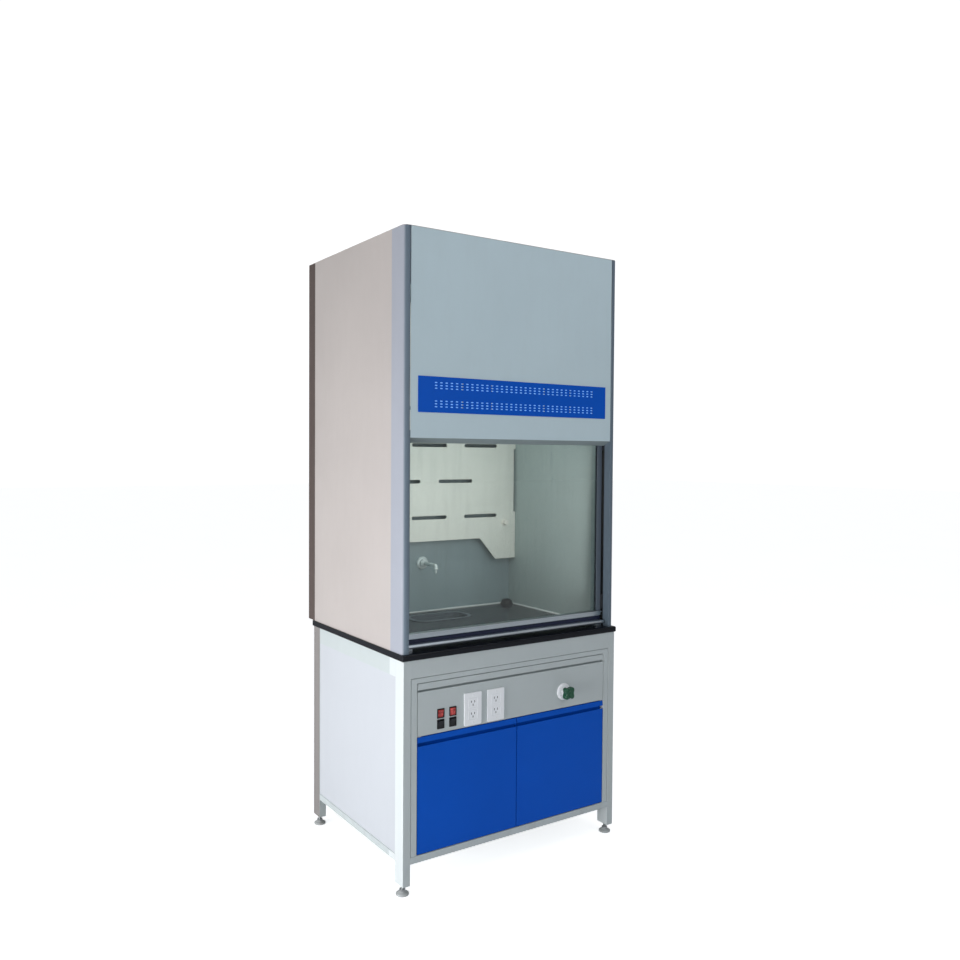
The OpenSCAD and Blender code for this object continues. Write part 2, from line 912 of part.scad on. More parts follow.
// Green lobed knob on its spindle
module valve_knob() {
  y_back = panel_y - rosette_t - hub_l - knob_gap;
  color("seagreen") {
    rod_y(valve_x, y_back - knob_t, service_z, knob_t, knob_r);
    for (i = [0 : lobe_count - 1])
      let (a = 45 + i * 360 / lobe_count)
        rod_y(valve_x + knob_r * cos(a), y_back - knob_t, service_z + knob_r * sin(a),
              knob_t, lobe_r);
    rod_y(valve_x, y_back - 1, service_z, spindle_l, spindle_r);
  }
}

// ---------------------------------------------------------------- hood shell

// Outline of a post: outer corner round at the origin, inner face at x = post_w
module post_outline(w, d, r) {
  intersection() {
    square([w, d]);
    union() {
      translate([r, 0])
        square([w, d]);
      translate([0, r])
        square([w, d]);
      translate([r, r])
        circle(r);
    }
  }
}

// Section of a front post, hollow, with the sash groove in its inner face
module front_post_section() {
  difference() {
    post_outline(post_w, post_d, post_r);
    difference() {
      translate([post_wall, post_wall])
        post_outline(post_w - 2 * post_wall, post_d - 2 * post_wall, post_r - post_wall);
      translate([post_w - groove_deep - post_wall, sash_y - groove_w / 2 - post_wall])
        square([post_w, groove_w + 2 * post_wall]);
    }
    translate([post_w - groove_deep, sash_y - groove_w / 2])
      square([post_w, groove_w]);
  }
}

// Section of a rear post, hollow
module rear_post_section() {
  difference() {
    post_outline(post_w, rear_post_d, post_r);
    translate([post_wall, post_wall])
      post_outline(post_w - 2 * post_wall, rear_post_d - 2 * post_wall, post_r - post_wall);
  }
}

// Four upright posts, from the worktop to the top sheet
module corner_posts() {
  color("lightslategray")
    both_sides() {
      translate([-half_w, yf, worktop_z])
        linear_extrude(shell_top - worktop_z)
          front_post_section();
      translate([-half_w, yr, worktop_z])
        linear_extrude(shell_top - worktop_z)
          mirror([0, 1, 0])
            rear_post_section();
    }
}

// Outer side sheets between the posts
module side_panels() {
  color("whitesmoke")
    both_sides()
      slab([-half_w, -half_w + skin_t], [yf + post_d, yr - rear_post_d], [worktop_z, shell_top]);
}

shaft_lap = 20;

// Rear sheet between the rear posts, with a foot that closes the shaft
module rear_panel() {
  y0 = yr - rear_inset - skin_t;
  color("whitesmoke") {
    slab([-inner_x, inner_x], [y0, y0 + skin_t], [worktop_z, shell_top]);
    slab([-inner_x, inner_x], [worktop_back - shaft_lap, y0], [worktop_z, worktop_z + skin_t]);
  }
}

// Round-head screws along the edges of the rear panel and round the collar
module panel_screws() {
  step = (shell_top - worktop_z - 2 * screw_end) / (screw_rows - 1);
  circle_r = collar_bore_r + collar_wall + collar_flange_w * 0.6;
  color("silver") {
    for (x = [-1, 1], i = [0 : screw_rows - 1])
      rod_y(x * (inner_x - screw_in), yr - rear_inset, worktop_z + screw_end + i * step, screw_h, screw_r);
    for (i = [0 : collar_screws - 1])
      let (a = (i + 0.5) * 360 / collar_screws)
        translate([circle_r * cos(a), yf + collar_y + circle_r * sin(a), hood_top + collar_flange_t])
          cylinder(h = screw_h, r = screw_r);
  }
}

screw_r = 4;
screw_h = 2.2;
screw_in = 12;
screw_end = 60;
screw_rows = 6;
collar_screws = 6;
collar_flange_w = 30;
collar_flange_t = 2;
collar_step = 1.5;

// Top sheet with round corners and the exhaust hole
module roof_panel() {
  color("whitesmoke")
    translate([0, (yf + yr) / 2, shell_top])
      linear_extrude(skin_t)
        difference() {
          round_rect(hood_w, hood_d, post_r);
          translate([0, yf + collar_y - (yf + yr) / 2])
            circle(collar_bore_r + collar_wall + seat_fit);
        }
}

// Duct spigot from the chamber ceiling to above the roof, with a flange on the roof
module exhaust_collar() {
  r = collar_bore_r + collar_wall;
  color("lightgray")
    translate([0, yf + collar_y, 0])
      difference() {
        union() {
          translate([0, 0, ceiling_z])
            cylinder(h = hood_top + 1 - ceiling_z, r = r - collar_step);
          translate([0, 0, hood_top])
            cylinder(h = collar_h, r = r);
          translate([0, 0, hood_top])
            cylinder(h = collar_flange_t, r = r + collar_flange_w);
        }
        translate([0, 0, ceiling_z - 1])
          cylinder(h = hood_top + collar_h - ceiling_z + 2, r = collar_bore_r);
      }
}

// ---------------------------------------------------------------- fascia

fascia_gap = 3;
fascia_inset = 1;
lip_d = sash_y - fascia_inset - shoe_half - lip_gap;

// Front sheet above the opening, with a slanted lip and windows behind the vents
module fascia_panel() {
  window_w = vent_pitch * vent_columns / vent_windows - window_bar;
  color("lightsteelblue")
    difference() {
      along_x(2 * (inner_x - fascia_gap))
        translate([yf + fascia_inset, 0])
          polygon([[0, fascia_z], [lip_d, fascia_z - lip_drop], [lip_d, fascia_z - lip_drop + skin_t],
                   [skin_t, fascia_z + skin_t], [skin_t, shell_top], [0, shell_top]]);
      for (band = [-1, 1], i = [0 : vent_windows - 1])
        let (x = (i - (vent_windows - 1) / 2) * vent_pitch * vent_columns / vent_windows,
             z = fascia_z + vent_rise + band * vent_band)
          slab([x - window_w / 2, x + window_w / 2], [yf, yf + fascia_inset + skin_t + 1],
               [z - window_half, z + window_half]);
    }
}

vent_windows = 6;
window_bar = 8;
window_half = 18;
vent_band = 33;
vent_row = 10.3;
vent_t = 1.5;

// Blue strip with two bands of short slots, three high
module vent_strip() {
  color("mediumblue")
    translate([0, 0, fascia_z + vent_rise])
      along_y(yf + fascia_inset - vent_t, vent_t)
        difference() {
          round_rect(vent_w, vent_h, 2);
          for (i = [0 : vent_columns - 1], band = [-1, 1], row = [-1 : 1])
            translate([(i - (vent_columns - 1) / 2) * vent_pitch, band * vent_band + row * vent_row])
              obround(vent_slot_w, vent_slot_h);
        }
}

sill_gap = 11;
sill_t = 15;
sill_y = 22;
sill_d = 83;
sill_tail = 3;
sill_slope = 35;
sill_foot_w = 30;
sill_foot_in = 16;
sill_x = inner_x - groove_deep / 2;

// Aerofoil bar that stands a finger's breadth above the worktop's front
module airfoil_sill() {
  z0 = worktop_z + sill_gap;
  color("silver") {
    along_x(2 * sill_x)
      translate([yf + sill_y, z0]) {
        translate([sill_t / 2, sill_t / 2])
          circle(sill_t / 2);
        polygon([[sill_t / 2, 0], [sill_d, 0], [sill_d, sill_tail], [sill_d - sill_slope, sill_t],
                 [sill_t / 2, sill_t]]);
      }
    both_sides()
      slab([-sill_x, -sill_x + sill_foot_w],
           [yf + sill_y + sill_foot_in, yf + sill_y + sill_d - sill_foot_in], [worktop_z, z0 + 1]);
  }
}

seal_half = 6;
seal_gap = 2;

// Dark strip on the sill that the sash closes against
module sill_seal() {
  z0 = worktop_z + sill_gap + sill_t;
  color("midnightblue")
    slab([-sill_x, sill_x], [sash_plane - seal_half, sash_plane + seal_half], [z0, sash_z - seal_gap]);
}

// Black channels in the posts' grooves
module sash_tracks() {
  color("black")
    both_sides()
      translate([-inner_x - groove_deep, sash_plane - groove_w / 2, worktop_z])
        linear_extrude(track_top - worktop_z)
          difference() {
            square([groove_deep, groove_w]);
            translate([track_wall, track_wall])
              square([groove_deep, groove_w - 2 * track_wall]);
          }
}

// ---------------------------------------------------------------- chamber

// Side walls of the chamber
module side_liners() {
  color("lightgray")
    both_sides()
      slab([-inner_x - liner_t, -inner_x], [yf + post_d, back_liner_back],
           [worktop_z, ceiling_z + liner_t]);
}

// Back wall of the chamber, pierced for the water outlet
module back_liner() {
  color("slategray")
    difference() {
      slab([-inner_x, inner_x], [back_liner_y, back_liner_back], [worktop_z, ceiling_z + liner_t]);
      rod_y(sink_x, back_liner_y - 1, faucet_z, liner_t + 2, pipe_r);
    }
}

ceiling_y = 98;
lens_y = [120, 220];
lens_half = 300;

// Ceiling with the lamp window and the duct hole
module ceiling_liner() {
  color("lightgray")
    difference() {
      slab([-inner_x, inner_x], [yf + ceiling_y, back_liner_y], [ceiling_z, ceiling_z + liner_t]);
      slab([-lens_half - seat_fit, lens_half + seat_fit],
           [yf + lens_y[0] - seat_fit, yf + lens_y[1] + seat_fit],
           [ceiling_z - 1, ceiling_z + liner_t + 1]);
      translate([0, yf + collar_y, ceiling_z - 1])
        cylinder(h = liner_t + 2, r = collar_bore_r + collar_wall + seat_fit);
    }
}

baffle_side_fit = 1;
baffle_half = inner_x - baffle_side_fit;
baffle_z = worktop_z + baffle_gap;
baffle_join_rise = 210;
baffle_join = fascia_z + baffle_join_rise;
mouth_slope = 90;
slot_rise = 206;
edge_notch_w = 10;
edge_notch_end = 27;

// Lower baffle: feet at both sides of a tapered mouth, staggered slots, side notches
module baffle_lower() {
  rows = floor((baffle_join - baffle_z - slot_rise) / row_pitch);
  full = floor((2 * baffle_half - slot_w) / slot_pitch) + 1;
  foot_x = baffle_half - foot_w;
  mouth_x = foot_x - mouth_slope;
  color("lightyellow")
    along_y(baffle_front, baffle_t)
      translate([0, baffle_z])
        difference() {
          polygon([[-baffle_half, 0], [-foot_x, 0], [-mouth_x, mouth_h], [mouth_x, mouth_h],
                   [foot_x, 0], [baffle_half, 0], [baffle_half, baffle_join - baffle_z],
                   [-baffle_half, baffle_join - baffle_z]]);
          for (row = [0 : rows])
            let (count = row % 2 == 0 ? full : full - 1)
              for (i = [0 : count - 1])
                translate([(i - (count - 1) / 2) * slot_pitch, slot_rise + row * row_pitch])
                  obround(slot_w, slot_h);
          for (side = [-1, 1])
            translate([side * baffle_half, slot_rise + row_pitch])
              square([2 * edge_notch_w, 2 * row_pitch - edge_notch_end], center = true);
        }
}

baffle_lead = 30;
baffle_top_gap = 12;

// Upper baffle, leaning forward under the duct
module baffle_upper() {
  top_y = yf + collar_y - collar_bore_r - baffle_lead;
  top_z = ceiling_z - baffle_top_gap;
  color("lightyellow")
    along_x(2 * baffle_half)
      polygon([[baffle_front, baffle_join], [top_y, top_z], [top_y + baffle_t + 2, top_z],
               [baffle_front + baffle_t, baffle_join + baffle_t - 1],
               [baffle_front + baffle_t, baffle_join]]);
}

fixing_x = 66;
fixing_low = 171;
fixing_high = 60;
spacer_r = 7;
washer_r = 16;
washer_t = 5;
nut_r = 12;
nut_l = 18;

// Posts between the baffle and the back liner, with thumb nuts in front
module baffle_fixings() {
  color("whitesmoke")
    both_sides()
      for (z = [baffle_z + fixing_low, baffle_join - fixing_high]) {
        rod_y(-inner_x + fixing_x, baffle_front + baffle_t, z, plenum_d, spacer_r);
        rod_y(-inner_x + fixing_x, baffle_front - washer_t, z, washer_t, washer_r);
        rod_y(-inner_x + fixing_x, baffle_front - washer_t - nut_l, z, nut_l + 1, nut_r);
      }
}

// Lamp box above the ceiling, with a tube lamp between its end holders
module lamp_housing() {
  y = yf + (lamp_y[0] + lamp_y[1]) / 2;
  z0 = ceiling_z + liner_t;
  wall = lamp_wall;
  color("white") {
    difference() {
      slab([-lamp_half, lamp_half], [yf + lamp_y[0], yf + lamp_y[1]], [z0, z0 + lamp_h]);
      slab([-lamp_half + wall, lamp_half - wall], [yf + lamp_y[0] + wall, yf + lamp_y[1] - wall],
           [z0 - 1, z0 + lamp_h - wall]);
    }
    rod_x(0, y, z0 + lamp_h / 2, 2 * (lens_half - holder_l), lamp_tube_r);
    both_sides()
      slab([-lamp_half + wall, -lens_half + holder_l], [y - holder_half, y + holder_half],
           [z0 + holder_half, z0 + lamp_h - wall]);
  }
}

// Flat diffuser in the ceiling
module lamp_lens() {
  color("lightcyan")
    slab([-lens_half, lens_half], [yf + lens_y[0], yf + lens_y[1]], [ceiling_z, ceiling_z + liner_t]);
}

// ---------------------------------------------------------------- sash

// Safety glass, held in grooves all round
module sash_glass() {
  x = sash_half - stile_w + glass_bite;
  color("lightcyan", 0.4)
    slab([-x, x], [sash_plane - glass_t / 2, sash_plane + glass_t / 2],
         [sash_z + rail_h - glass_bite, sash_top - top_rail_t + glass_bite]);
}

// Space in a rail or stile for the edge of the glass
module glass_groove() {
  x = sash_half - stile_w + glass_bite;
  slab([-x, x], [sash_plane - glass_t / 2 - glass_fit, sash_plane + glass_t / 2 + glass_fit],
       [sash_z + rail_h - glass_bite, sash_top - top_rail_t + glass_bite]);
}

// Bottom rail with a lip to lift by
module sash_bottom_rail() {
  color("silver")
    difference() {
      along_x(2 * (sash_half - 2))
        translate([sash_plane, sash_z + rail_h / 2]) {
          round_rect(rail_d, rail_h, 4);
          translate([-rail_d / 2 - pull_d, rail_h / 2 - pull_t])
            square([2 * pull_d, pull_t]);
        }
      glass_groove();
    }
}

// Stiles and top rail, with cable clips on top
module sash_frame() {
  x1 = sash_half;
  color("dimgray")
    difference() {
      union() {
        both_sides() {
          slab([-x1, -x1 + stile_w], [sash_plane - stile_t / 2, sash_plane + stile_t / 2],
               [sash_z + rail_h, sash_top - top_rail_t + 1]);
          translate([-cable_x, sash_plane, sash_top - 1])
            cylinder(h = clip_h + 1, r = clip_r);
        }
        slab([-x1, x1], [sash_plane - top_rail_half, sash_plane + top_rail_half],
             [sash_top - top_rail_t, sash_top]);
      }
      glass_groove();
    }
}

// Nylon shoes that run in the tracks
module sash_guides() {
  color("dimgray")
    both_sides()
      for (z = [sash_z + shoe_low, sash_top - shoe_high])
        slab([-inner_x - groove_deep + track_wall + slide_fit, -sash_half],
             [sash_plane - shoe_half, sash_plane + shoe_half], [z, z + shoe_h]);
}

// ---------------------------------------------------------------- counterbalance

// Steel bar that balances the sash, with a clip for each cable
module counterweight() {
  color("dimgray") {
    slab([-weight_end_x, weight_end_x], [weight_y - weight_t / 2, weight_y + weight_t / 2],
         [weight_top - weight_h, weight_top]);
    both_sides()
      translate([-cable_x, weight_y, weight_top - 1])
        cylinder(h = clip_h + 1, r = clip_r);
  }
}

// Channels on the rear posts that guide the ends of the counterweight
module counterweight_rails() {
  half = weight_t / 2 + 1;
  z0 = weight_top - weight_h - sash_travel - guide_spare;
  color("silver")
    both_sides()
      difference() {
        slab([-inner_x, -inner_x + guide_w], [weight_y - half - guide_t, weight_y + half + guide_t],
             [z0, pulley_z - pulley_r - 2 * pulley_rim]);
        slab([-inner_x + guide_t, -inner_x + guide_w + 1], [weight_y - half, weight_y + half],
             [z0 - 1, pulley_z]);
      }
}

// A shaft across the hood with a grooved pulley near each end
module pulley_shaft(y) {
  translate([0, y, pulley_z])
    rotate([0, 90, 0]) {
      cylinder(h = 2 * (bracket_x + bracket_t + 1), r = shaft_r, center = true);
      for (side = [-1, 1])
        translate([0, 0, side * cable_x])
          rotate_extrude()
            difference() {
              translate([0, -pulley_w / 2])
                square([pulley_r + pulley_rim, pulley_w]);
              translate([pulley_r, 0])
                circle(cable_r + groove_fit);
              translate([pulley_r, -cable_r - groove_fit])
                square([2 * pulley_rim, 2 * (cable_r + groove_fit)]);
            }
    }
}

module front_pulleys() {
  color("gray")
    pulley_shaft(front_pulley_y);
}

module rear_pulleys() {
  color("gray")
    pulley_shaft(rear_pulley_y);
}

// Plates under the roof that carry the two shafts
module pulley_brackets() {
  color("silver")
    both_sides()
      for (y = [front_pulley_y, rear_pulley_y])
        difference() {
          slab([-bracket_x - bracket_t, -bracket_x], [y - bracket_half, y + bracket_half],
               [pulley_z - bracket_half, shell_top]);
          rod_x(-bracket_x, y, pulley_z, 4 * bracket_t, shaft_r + pin_fit);
        }
}

// Fixed cable over and between the pulleys
module cable_top_runs() {
  color("darkgray")
    both_sides()
      translate([-cable_x, 0, pulley_z]) {
        rod_y(0, front_pulley_y, pulley_r, rear_pulley_y - front_pulley_y, cable_r);
        translate([0, front_pulley_y, 0])
          rotate([90, 0, -90])
            rotate_extrude(angle = 90)
              translate([pulley_r, 0])
                circle(cable_r);
        translate([0, rear_pulley_y, 0])
          rotate([90, 0, 90])
            rotate_extrude(angle = 90)
              translate([pulley_r, 0])
                circle(cable_r);
      }
}

// Cable from the front pulleys down to the sash
module cable_sash_runs() {
  color("darkgray")
    both_sides()
      translate([-cable_x, sash_plane, sash_top + clip_h])
        cylinder(h = pulley_z - sash_top - clip_h, r = cable_r);
}

// Cable from the rear pulleys down to the counterweight
module cable_weight_runs() {
  color("darkgray")
    both_sides()
      translate([-cable_x, weight_y, weight_top + clip_h])
        cylinder(h = pulley_z - weight_top - clip_h, r = cable_r);
}

// ---------------------------------------------------------------- feet

// Levelling foot: a pad on a stud that screws into the leg
module levelling_foot(side, y) {
  color("dimgray")
    translate([side * (half_w - leg_w / 2), y + leg_d / 2, 0]) {
      cylinder(h = foot_pad_h, r = foot_pad_r);
      cylinder(h = foot_h + foot_stud_in, r = foot_stud_r);
    }
}

module foot_front_left() {
  levelling_foot(-1, base_y);
}

module foot_front_right() {
  levelling_foot(1, base_y);
}

module foot_rear_left() {
  levelling_foot(-1, base_back - leg_d);
}

module foot_rear_right() {
  levelling_foot(1, base_back - leg_d);
}

base_legs();
base_rails();
base_panels();
cabinet_carcass();
cabinet_face_frame();
service_panel();
electrical_box();
worktop();
cup_sink();
sink_trap();
faucet();
water_valve();
water_pipes();
cable_port();
wiring_conduit();
door_fittings();
switch_housings();
socket_outlets();
corner_posts();
side_panels();
rear_panel();
roof_panel();
exhaust_collar();
side_liners();
back_liner();
ceiling_liner();
baffle_lower();
baffle_upper();
baffle_fixings();
fascia_panel();
vent_strip();
airfoil_sill();
sill_seal();
sash_tracks();
lamp_housing();
lamp_lens();
pulley_brackets();
counterweight_rails();
cable_top_runs();
cable_sash_runs();
cable_weight_runs();
panel_screws();
sash_glass();
sash_bottom_rail();
sash_frame();
sash_guides();
counterweight();
front_pulleys();
rear_pulleys();
door_left();
door_right();
rocker_1();
rocker_2();
rocker_3();
rocker_4();
valve_knob();
foot_front_left();
foot_front_right();
foot_rear_left();
foot_rear_right();
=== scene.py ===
# %% [markdown]
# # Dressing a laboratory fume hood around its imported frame
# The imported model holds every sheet, rail, pivot and pulley at its real size, and says which of them
# move together. Blender adds what a workshop and a few years of use add: rolled sheet edges, powder
# coat, brushed metal, moulded plastic, glass, rope and sealant. We load the frame first, because every
# later number comes from its boxes and not from guesses.

# %% Load the frame
import json
import math

import bmesh
import bpy
import numpy as np
from mathutils import Matrix, Vector


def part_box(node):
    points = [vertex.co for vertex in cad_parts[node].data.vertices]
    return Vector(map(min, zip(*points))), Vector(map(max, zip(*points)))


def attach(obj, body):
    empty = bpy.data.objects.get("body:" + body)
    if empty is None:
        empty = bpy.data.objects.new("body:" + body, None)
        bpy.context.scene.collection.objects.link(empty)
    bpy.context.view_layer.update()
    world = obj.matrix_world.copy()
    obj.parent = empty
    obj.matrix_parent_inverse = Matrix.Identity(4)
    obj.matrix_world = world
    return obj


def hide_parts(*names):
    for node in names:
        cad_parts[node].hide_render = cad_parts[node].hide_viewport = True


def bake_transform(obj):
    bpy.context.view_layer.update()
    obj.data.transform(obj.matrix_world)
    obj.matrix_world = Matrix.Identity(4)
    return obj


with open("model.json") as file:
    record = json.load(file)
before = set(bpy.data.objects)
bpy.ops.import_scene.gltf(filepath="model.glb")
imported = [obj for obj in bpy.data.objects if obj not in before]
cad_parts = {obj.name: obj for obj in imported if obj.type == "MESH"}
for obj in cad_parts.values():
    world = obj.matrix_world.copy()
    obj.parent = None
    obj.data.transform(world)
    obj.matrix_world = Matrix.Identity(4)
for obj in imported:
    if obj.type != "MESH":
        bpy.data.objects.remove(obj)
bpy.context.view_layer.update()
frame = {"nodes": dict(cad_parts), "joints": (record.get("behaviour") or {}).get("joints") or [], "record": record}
NODES = frame["nodes"]
RECORD = frame["record"]
SLOT_OF = {row["node"]: row["material_slot"] for row in RECORD["subparts"]}
BODY_OF = {node: body for body, nodes in RECORD["behaviour"]["bodies"].items() for node in nodes}
MM = 0.001
TAU = 2 * np.pi


# %% [markdown]
# ## The camera, the floor and the light
# A hood is tall, so a camera at chest height looks almost level. The camera's place and turn are set by
# three axes of our own: where it looks, what is to its right, and what is up, with a slight roll as from
# a hand-held camera. We could aim it with a constraint, but plain axes give the same picture each run.

# %% Camera
def stand(name, data):
    """A new object with this data, linked into the scene."""
    made = bpy.data.objects.new(name, data)
    bpy.context.scene.collection.objects.link(made)
    return made


CAMERA_AT = Vector((-1.9965, -3.0920, 1.5825))
YAW, PITCH, ROLL = (math.radians(a) for a in (34.066, 1.677, 0.388))
LENS_MM = 32.779

forward = Vector((math.sin(YAW) * math.cos(PITCH), math.cos(YAW) * math.cos(PITCH), -math.sin(PITCH)))
level_right = forward.cross(Vector((0, 0, 1))).normalized()
level_up = level_right.cross(forward)
right = level_right * math.cos(ROLL) + level_up * math.sin(ROLL)
up = level_up * math.cos(ROLL) - level_right * math.sin(ROLL)
camera = stand("camera", bpy.data.cameras.new("camera"))
camera.data.lens = LENS_MM
camera.data.clip_end = 100
camera.matrix_world = Matrix.Translation(CAMERA_AT) @ Matrix((right, up, -forward)).transposed().to_4x4()
bpy.context.scene.camera = camera
bpy.context.scene.view_settings.view_transform = "Standard"
print("camera looks along", tuple(round(c, 3) for c in forward))


# %% [markdown]
# Colours are easier to think of as the hexadecimal numbers of a paint chart, but shaders want them
# linear. The formula is the standard one: below 0.04045 divide by 12.92, else ((c + 0.055) / 1.055) ** 2.4.

# %% Colours
def paint(code):
    """A linear RGBA colour from a chart code such as "A3B5BC"."""
    c = np.array([int(code[i:i + 2], 16) for i in (0, 2, 4)]) / 255
    linear = np.where(c <= 0.04045, c / 12.92, ((c + 0.055) / 1.055) ** 2.4)
    return (*linear.tolist(), 1.0)


# %% [markdown]
# Daylight comes from a wide doorway on the left and low down, so that the left side of the hood is bright
# and grows darker towards the top, and the front is in softer, bluer light. Large area lights do that.
# The world is plain white to the camera but dimmer as a light, which a Light Path node tells apart. The
# chamber has light of its own: the lamp in its ceiling is switched on, and a soft fill, which stands in
# the plane of the sash and faces inwards, does the work of light that bounces between pale walls.

# %% World and lights
def area_light(name, place, target, size, power, colour):
    """A rectangular light of size (width, height) that faces target."""
    light = bpy.data.lights.new(name, "AREA")
    light.shape = "RECTANGLE"
    light.size, light.size_y = size
    light.energy = power
    light.color = paint(colour)[:3]
    holder = stand(name, light)
    aim = Vector(target) - Vector(place)
    holder.matrix_world = Matrix.Translation(place) @ aim.to_track_quat("-Z", "Y").to_matrix().to_4x4()
    return holder


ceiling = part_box("lamp_lens")
sash_lo, sash_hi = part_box("sash_glass")
world = bpy.data.worlds.new("soft_room")
world.use_nodes = True
bpy.context.scene.world = world
tree = world.node_tree
background = tree.nodes["Background"]
background.inputs["Color"].default_value = paint("FDFEFF")
lit = tree.nodes.new("ShaderNodeLightPath")
strength = tree.nodes.new("ShaderNodeMapRange")
strength.inputs["To Min"].default_value = 0.30
strength.inputs["To Max"].default_value = 1.08
tree.links.new(lit.outputs["Is Camera Ray"], strength.inputs["Value"])
tree.links.new(strength.outputs["Result"], background.inputs["Strength"])
area_light("doorway", (-3.4, -0.45, 0.55), (0, 0.1, 0.7), (2.6, 1.5), 108, "FBFCFF")
area_light("window", (0.6, -5.0, 2.6), (0, 0, 1.4), (3.0, 2.2), 30, "EAF3FF")
area_light("ceiling_bounce", (0.4, -1.6, 4.4), (0, 0, 1.0), (3.0, 3.0), 22, "F7FAFF")
lamp_at = (0, (ceiling[0].y + ceiling[1].y) / 2, ceiling[0].z - 5 * MM)
area_light("hood_lamp", lamp_at, (0, lamp_at[1] + 0.1, 1.0), (0.58, 0.09), 2.4, "FFF6F4")
fill_at = (0, sash_hi.y + 60 * MM, (sash_lo.z + sash_hi.z) / 2)
fill = area_light("chamber_fill", fill_at, (0, 1, fill_at[2] + 0.05), (0.86, 0.6), 2.7, "FFF3F5")
fill.visible_camera = False


# %% [markdown]
# ## Meshes from arrays
# Every new piece is a surface on a grid: rows run along it and columns run across it. The faces of such a
# grid follow one rule, so numpy writes them all at once, and from_pydata puts them into a mesh. Merging
# doubles closes seams and poles, and then the normals are recalculated so that they point outwards.

# %% Grids and pieces
def grid_faces(rows, columns, wrap_rows=False, wrap_columns=True):
    """Quads of a grid: point (r, c) joins (r, c+1), (r+1, c+1) and (r+1, c), wrapped sides closed."""
    r = np.arange(rows if wrap_rows else rows - 1)[:, None]
    c = np.arange(columns if wrap_columns else columns - 1)[None, :]
    r1, c1 = (r + 1) % rows, (c + 1) % columns
    corners = [r * columns + c, r * columns + c1, r1 * columns + c1, r1 * columns + c]
    return np.stack(corners, -1).reshape(-1, 4).tolist()


def joined(parts):
    """Several (points, faces) pairs as one pair, with the later faces renumbered."""
    points, faces, start = [], [], 0
    for p, f in parts:
        points.append(np.asarray(p, float).reshape(-1, 3))
        faces += [[i + start for i in face] for face in f]
        start += len(points[-1])
    return np.concatenate(points), faces


MERGE_M = 2e-5


def corners(node):
    """The low and the high corner of a node's box, as arrays."""
    return (np.array(corner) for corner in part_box(node))


def piece(name, parts, finish, body, stands_for=(), sharp=38.0):
    """Makes a mesh of the parts, closes and orients it, paints it, and lets it ride on a body."""
    points, faces = joined(parts)
    mesh = bpy.data.meshes.new(name)
    mesh.from_pydata(points.tolist(), [], faces)
    work = bmesh.new()
    work.from_mesh(mesh)
    bmesh.ops.remove_doubles(work, verts=work.verts, dist=MERGE_M)
    bmesh.ops.recalc_face_normals(work, faces=work.faces)
    work.to_mesh(mesh)
    work.free()
    mesh.polygons.foreach_set("use_smooth", np.ones(len(mesh.polygons), bool))
    mesh.set_sharp_from_angle(angle=math.radians(sharp))
    mesh.materials.append(MATERIALS[finish])
    made = stand(name, mesh)
    if body:
        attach(made, body)
    if stands_for:
        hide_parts(*stands_for)
    return made


# %% [markdown]
# Turned parts, such as nuts, feet and caps, are a profile carried round an axis. A knob is the same
# thing with a radius that swings in and out as it goes round, which gives lobes, flats or knurling.

# %% Turned parts and tubes
ORDER = {"x": [2, 0, 1], "y": [1, 2, 0], "z": [0, 1, 2]}


def turned(profile, centre, axis="z", sides=32, lobes=0, swing=0.0, phase=0.0):
    """Point (i, a) is at distance radius_i * (1 + swing * cos(lobes * a)) from the axis and height_i
    along it. Profile rows are (radius, height) or (radius, height, share of the swing), in millimetres."""
    rows = np.array([(*row, 1.0)[:3] for row in profile], float)
    a = np.arange(sides) * TAU / sides + phase
    wave = 1 + swing * rows[:, 2:3] * np.cos(lobes * (a - phase))
    reach = rows[:, 0:1] * wave * MM
    cells = np.stack([reach * np.cos(a), reach * np.sin(a), np.repeat(rows[:, 1:2] * MM, sides, 1)], -1)
    return cells[..., ORDER[axis]].reshape(-1, 3) + np.asarray(centre, float), grid_faces(len(rows), sides)


def tube(path, radii, flat_normal, sides=20):
    """Circles carried along a path that lies in a plane, closed at both ends: point (i, a) is
    path_i + radius_i * (cos a * plane normal + sin a * side), where side is at right angles to both."""
    path = np.asarray(path, float)
    radii = np.broadcast_to(np.asarray(radii, float), len(path))
    along = np.gradient(path, axis=0)
    along /= np.linalg.norm(along, axis=1, keepdims=True)
    normal = np.broadcast_to(np.asarray(flat_normal, float), path.shape)
    side = np.cross(along, normal)
    a = np.arange(sides) * TAU / sides
    ring = np.cos(a)[None, :, None] * normal[:, None] + np.sin(a)[None, :, None] * side[:, None]
    points = path[:, None] + radii[:, None, None] * ring
    ends = np.repeat(path[[0, -1]][:, None], sides, 1)
    points = np.concatenate([ends[:1], points, ends[1:]])
    return points.reshape(-1, 3), grid_faces(len(points), sides)


def arc(centre, radius, start, stop, steps):
    """Points (centre + radius * (cos t, sin t)) for t from start to stop, in degrees."""
    t = np.radians(np.linspace(start, stop, steps))
    return np.stack([centre[0] + radius * np.cos(t), centre[1] + radius * np.sin(t)], 1)


# %% [markdown]
# Flat mouldings have an outline with round corners. Each corner is an arc that touches both of its
# sides: the arc's centre lies on the bisector at radius / sin(half the corner's angle).

